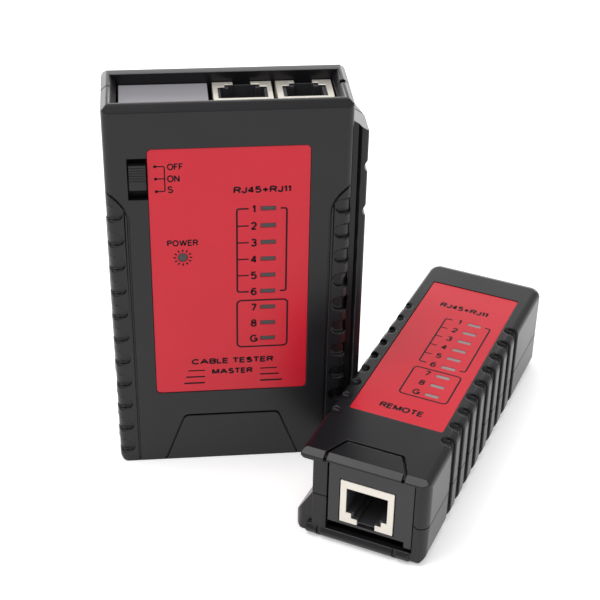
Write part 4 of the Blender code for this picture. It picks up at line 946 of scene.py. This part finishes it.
def stroke(points, width, radius=0.0):
    line = rounded_line(points, radius) if radius else points
    return flat_ink(ribbon(line, width))


def dot(x, y, radius):
    return flat_ink(circle((x, y), radius, 20))


def frame_line(low, high, radius, width):
    """Closed rounded box drawn as a line, in two halves that meet."""
    outline = rounded_rectangle(low, high, radius, 4)
    half = len(outline) // 2
    return [stroke(outline[:half + 1], width), stroke(outline[half:] + outline[:1], width)]


def digit(name, x, y):
    half = DIGIT_H / 2
    reach = DIGIT_SHARE * LETTERS[name.upper()][0] * half
    return words(name.upper(), (x - reach, y - half), (x + reach, y + half), DIGIT_WEIGHT)


def sun():
    """Ring of short rays round the power light."""
    marks = []
    for i in range(SUN_RAYS):
        angle = 2 * pi * i / SUN_RAYS
        along = Vector((cos(angle), sin(angle)))
        start, end = Vector(POWER_LED) + along * SUN_IN, Vector(POWER_LED) + along * SUN_OUT
        marks.append(stroke([tuple(start), tuple(end)], SUN_W))
    return marks


def light_print(digit_x, leds, lift, left, right, ends, box):
    """Numbers of the lights, a bracket on each side of the first six, and a box round the last three.

    left and right: X of a bracket's free end and of its back. ends: where the brackets start and end.
    """
    *highs, low = ends
    marks = [digit(name, digit_x, place + lift) for name, (_, place) in zip(LED_NAMES, leds)]
    for (tip, back), high in zip((left, right), highs):
        marks.append(stroke([(tip, high), (back, high), (back, low), (tip, low)], FRAME_W, BRACKET_R))
    return marks + frame_line(*box, FRAME_R, FRAME_W)


def master_print():
    marks = [dot(*spot, SWITCH_DOT_R) for spot in SWITCH_DOTS]
    marks += [stroke(*line) for line in SWITCH_LINES]
    marks += [words(*row) for row in MASTER_WORDS] + sun()
    marks += light_print(6.5, LEDS, -0.05, (5.1, 1.9), (13.8, 15.5), (85.2, 85.1, 58.5),
                         ((1.8, 39.8), (16.0, 55.6)))
    marks += [stroke([(2.0, z), (5.1, z)], TICK_W) for _, z in LEDS[1:5]]
    return merge(marks + [stroke([(start, z), (end, z)], width) for start, end, z, width in SIDE_LINES])


def remote_print():
    marks = [words(*row) for row in REMOTE_WORDS]
    marks += light_print(15.9, REMOTE_LEDS, 0.0, (13.6, 11.4), (24.0, 25.7), (77.5, 77.5, 53.0),
                         ((11.3, 35.8), (25.7, 50.0)))
    return merge(marks + [stroke([(11.4, y), (13.6, y)], TICK_W) for _, y in REMOTE_LEDS[1:5]])


def make_labels():
    master_sheet = label_sheet(LABEL_X, LABEL_Z, LABEL_R, LEDS, POWER_LED)
    remote_sheet = label_sheet(REMOTE_LABEL_X, REMOTE_LABEL_Y, REMOTE_LABEL_R, REMOTE_LEDS)
    for body, placing, sheet, ink in (("master", master @ ON_MASTER, master_sheet, master_print()),
                                      ("remote", remote @ ON_REMOTE, remote_sheet, remote_print())):
        piece(f"{body}_face_label", sheet, "label_red", placing, body, [f"{body}_label"])
        piece(f"{body}_print", ink, "ink", placing, body)


# ---- lights, switch and end plates ----

def bar_light(x, y, seat):
    """Bar-shaped light under a label's window, drawn in label coordinates."""
    head = window_outline(x, y, WINDOW_W - LIGHT_GAP, WINDOW_H - LIGHT_GAP)
    light = work(prism(head, "z", -SHOULDER, -LENS_SUNK))
    join(light, prism(window_outline(x, y, *LIGHT_BASE), "z", seat, -SHOULDER + LIGHT_BASE_RISE))
    return soften(light, 0.07, 60)


def make_lights():
    for unit, spots, seat, finish, placing in (
            ("master", LEDS, MASTER_LED_SEAT, "lens_dark", master @ ON_MASTER),
            ("remote", REMOTE_LEDS, REMOTE_LED_SEAT, "lens_pale", remote @ ON_REMOTE)):
        for name, spot in zip(LED_NAMES, spots):
            piece(f"{unit}_light_{name}", bar_light(*spot, seat), finish, placing, unit,
                  [f"{unit}_led_{name}"])
    radius = POWER_LED_R - POWER_GAP
    profile = [(radius * sin(a), POWER_CROWN * (cos(a) - 1.0)) for a in (pi / 2 * i / 6 for i in range(7))]
    profile += [(radius, -3.0), *POWER_BASE]
    bm = bmesh.new()
    verts = [bm.verts.new((POWER_LED[0] + r, POWER_LED[1], h)) for r, h in profile]
    edges = [bm.edges.new(pair) for pair in zip(verts, verts[1:])]
    bmesh.ops.spin(bm, geom=verts + edges, cent=(*POWER_LED, 0), axis=(0, 0, 1), angle=2 * pi, steps=32)
    bmesh.ops.remove_doubles(bm, verts=bm.verts, dist=1e-4)
    piece("power_light", face_out(bm), "lens_dark", master @ ON_MASTER, "master", ["power_led"])


def make_knob(placing):
    """Switch knob: a flat lower part and a raised upper part with fine ridges."""
    (left, right), (low, high) = KNOB_X, KNOB_Z
    knob = work(block((left, -KNOB_PROUD, low), (right, WALL - 0.2, high)))
    cut(knob, block((left - THROUGH, -KNOB_PROUD - THROUGH, low - THROUGH),
                    (right + THROUGH, -KNOB_PROUD + KNOB_STEP, KNOB_STEP_Z)))
    grooves = []
    for i in range(KNOB_RIDGES):
        z = high - KNOB_RIDGE_TOP - i * KNOB_RIDGE_PITCH
        outside = -KNOB_PROUD - 0.1
        notch = [(outside, z - KNOB_RIDGE_HALF), (-KNOB_PROUD + KNOB_RIDGE_DEPTH, z),
                 (outside, z + KNOB_RIDGE_HALF)]
        grooves.append(prism(notch, "x", left - THROUGH, right + THROUGH))
    cut(knob, merge(grooves))
    x, z, (wide, tall), (near, far) = (left + right) / 2, (low + high) / 2, KNOB_STEM, KNOB_STEM_Y
    join(knob, block((x - wide, near, z - tall), (x + wide, far, z + tall)))
    piece("switch_slider", soften(knob, 0.1), "case_black", placing, "switch_knob", ["switch_knob"])


def make_remote_plate(placing):
    """Panel round the remote's jack, with a foot at its right end."""
    (left, right), top = END_PANEL_X, END_PANEL_TOP
    inner = right - END_PANEL_FOOT_W
    outline = [(left, END_PANEL_LOW), (inner, END_PANEL_LOW), (inner, END_PANEL_FOOT),
               (right, END_PANEL_FOOT), (right, top), (left, top)]
    low, high = local_box("remote_rj45_shield", placing)
    plate = work(prism(outline, "y", *END_PANEL_Y))
    cut(plate, block((low.x - GAP, -THROUGH, low.z - GAP), (high.x + GAP, WALL + THROUGH, high.z + GAP)))
    piece("remote_end_plate", soften(plate, 0.15), "panel_black", placing, "remote", ["remote_end_panel"])


def local_box(node, placing):
    """A node's box in the millimetres of a local frame."""
    inverse = placing.inverted()
    points = [inverse @ v.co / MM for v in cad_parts[node].data.vertices]
    return (Vector([min(p[i] for p in points) for i in range(3)]),
            Vector([max(p[i] for p in points) for i in range(3)]))


# ---- CAD nodes that stay ----

def refine(node, material, width):
    """Give a CAD node its finish and a fine rounding on its edges."""
    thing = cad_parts[node]
    thing.data.materials.clear()
    thing.data.materials.append(material)
    modify(thing, "WELD", merge_threshold=1e-6)
    modify(thing, "DECIMATE", decimate_type="DISSOLVE", angle_limit=radians(1))
    if width:
        modify(thing, "BEVEL", width=width * MM, segments=2, limit_method="ANGLE",
               angle_limit=radians(SHARP_ANGLE))
    modify(thing, "WEIGHTED_NORMAL")


def refine_all():
    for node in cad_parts:
        if node in replaced_nodes:
            continue
        for part, finish, width in NODE_FINISHES:
            if part in node:
                refine(node, finishes[finish], width)
                break
        else:
            raise RuntimeError(f"no finish for {node}")


# ---- stage ----

def make_floor():
    bm = bmesh.new()
    bm.faces.new([bm.verts.new((*corner, 0.0))
                  for corner in rectangle((-FLOOR_HALF, -FLOOR_HALF), (FLOOR_HALF, FLOOR_HALF))])
    floor = work(bm, "floor")
    finish = Finish("floor")
    finish.set(Base_Color=(FLOOR_GREY, FLOOR_GREY, FLOOR_GREY, 1.0), Roughness=0.6, Specular_IOR_Level=0.2,
               Emission_Color=(1.0, 1.0, 1.0, 1.0), Emission_Strength=FLOOR_GLOW)
    floor.data.materials.append(finish.material)


def area_light(name, place_at, aim, size, radiance):
    """Soft rectangular light of a given radiance."""
    data = bpy.data.lights.new(name, "AREA")
    data.shape = "RECTANGLE"
    data.size, data.size_y = size
    data.energy = radiance * pi * size[0] * size[1]
    light = link(bpy.data.objects.new(name, data))
    light.location = place_at
    light.rotation_euler = (Vector(aim) - Vector(place_at)).to_track_quat("-Z", "Y").to_euler()
    light.visible_camera = False


def make_world():
    world = bpy.data.worlds.new("studio")
    world.use_nodes = True
    inputs = world.node_tree.nodes["Background"].inputs
    inputs["Color"].default_value = (1.0, 1.0, 1.0, 1.0)
    inputs["Strength"].default_value = WORLD_RADIANCE
    bpy.context.scene.world = world


def make_camera(master):
    yaw, pitch, roll = (radians(a) for a in CAMERA_TURN)
    forward = Vector((sin(yaw) * cos(pitch), cos(yaw) * cos(pitch), -sin(pitch)))
    level = Vector((cos(yaw), -sin(yaw), 0.0))
    upright = level.cross(forward)
    right = cos(roll) * level + sin(roll) * upright
    up = -sin(roll) * level + cos(roll) * upright
    data = bpy.data.cameras.new("camera")
    data.sensor_width = 36.0
    data.lens = CAMERA_LENS
    camera = link(bpy.data.objects.new("camera", data))
    spot = master @ (Vector(CAMERA_PLACE) * MM)
    camera.matrix_world = Matrix.Translation(spot) @ Matrix((right, up, -forward)).transposed().to_4x4()
    bpy.context.scene.camera = camera


# ---- assembly ----

def find_placings():
    low, high = (Vector(corner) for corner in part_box("master_label"))
    master = Matrix.Translation(((low.x + high.x - sum(LABEL_X) * MM) / 2, low.y, 0.0))
    low, high = (Vector(corner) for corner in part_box("remote_label"))
    turn = Matrix.Rotation(REMOTE_TURN, 4, "Z")
    middle = Vector((sum(REMOTE_LABEL_X) / 2, sum(REMOTE_LABEL_Y) / 2, 0.0)) * MM
    origin = (low + high) / 2 - turn @ middle
    return master, Matrix.Translation((origin.x, origin.y, 0.0)) @ turn


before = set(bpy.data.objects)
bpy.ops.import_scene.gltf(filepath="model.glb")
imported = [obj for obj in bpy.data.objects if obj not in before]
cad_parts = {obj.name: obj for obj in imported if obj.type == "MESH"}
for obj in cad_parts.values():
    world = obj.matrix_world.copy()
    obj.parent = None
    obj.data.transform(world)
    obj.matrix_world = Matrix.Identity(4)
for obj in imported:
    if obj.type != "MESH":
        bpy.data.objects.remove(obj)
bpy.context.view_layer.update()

finishes = make_finishes()
replaced_nodes = set()
master, remote = find_placings()
make_camera(master)
make_front_shell(master)
make_rear_shell(master)
make_remote_top(remote)
make_remote_bottom(remote)
make_remote_plate(remote)
make_labels()
make_lights()
make_knob(master)
refine_all()
make_floor()
make_world()
for row in LIGHTS:
    area_light(*row)
bpy.context.scene.view_settings.view_transform = "Standard"
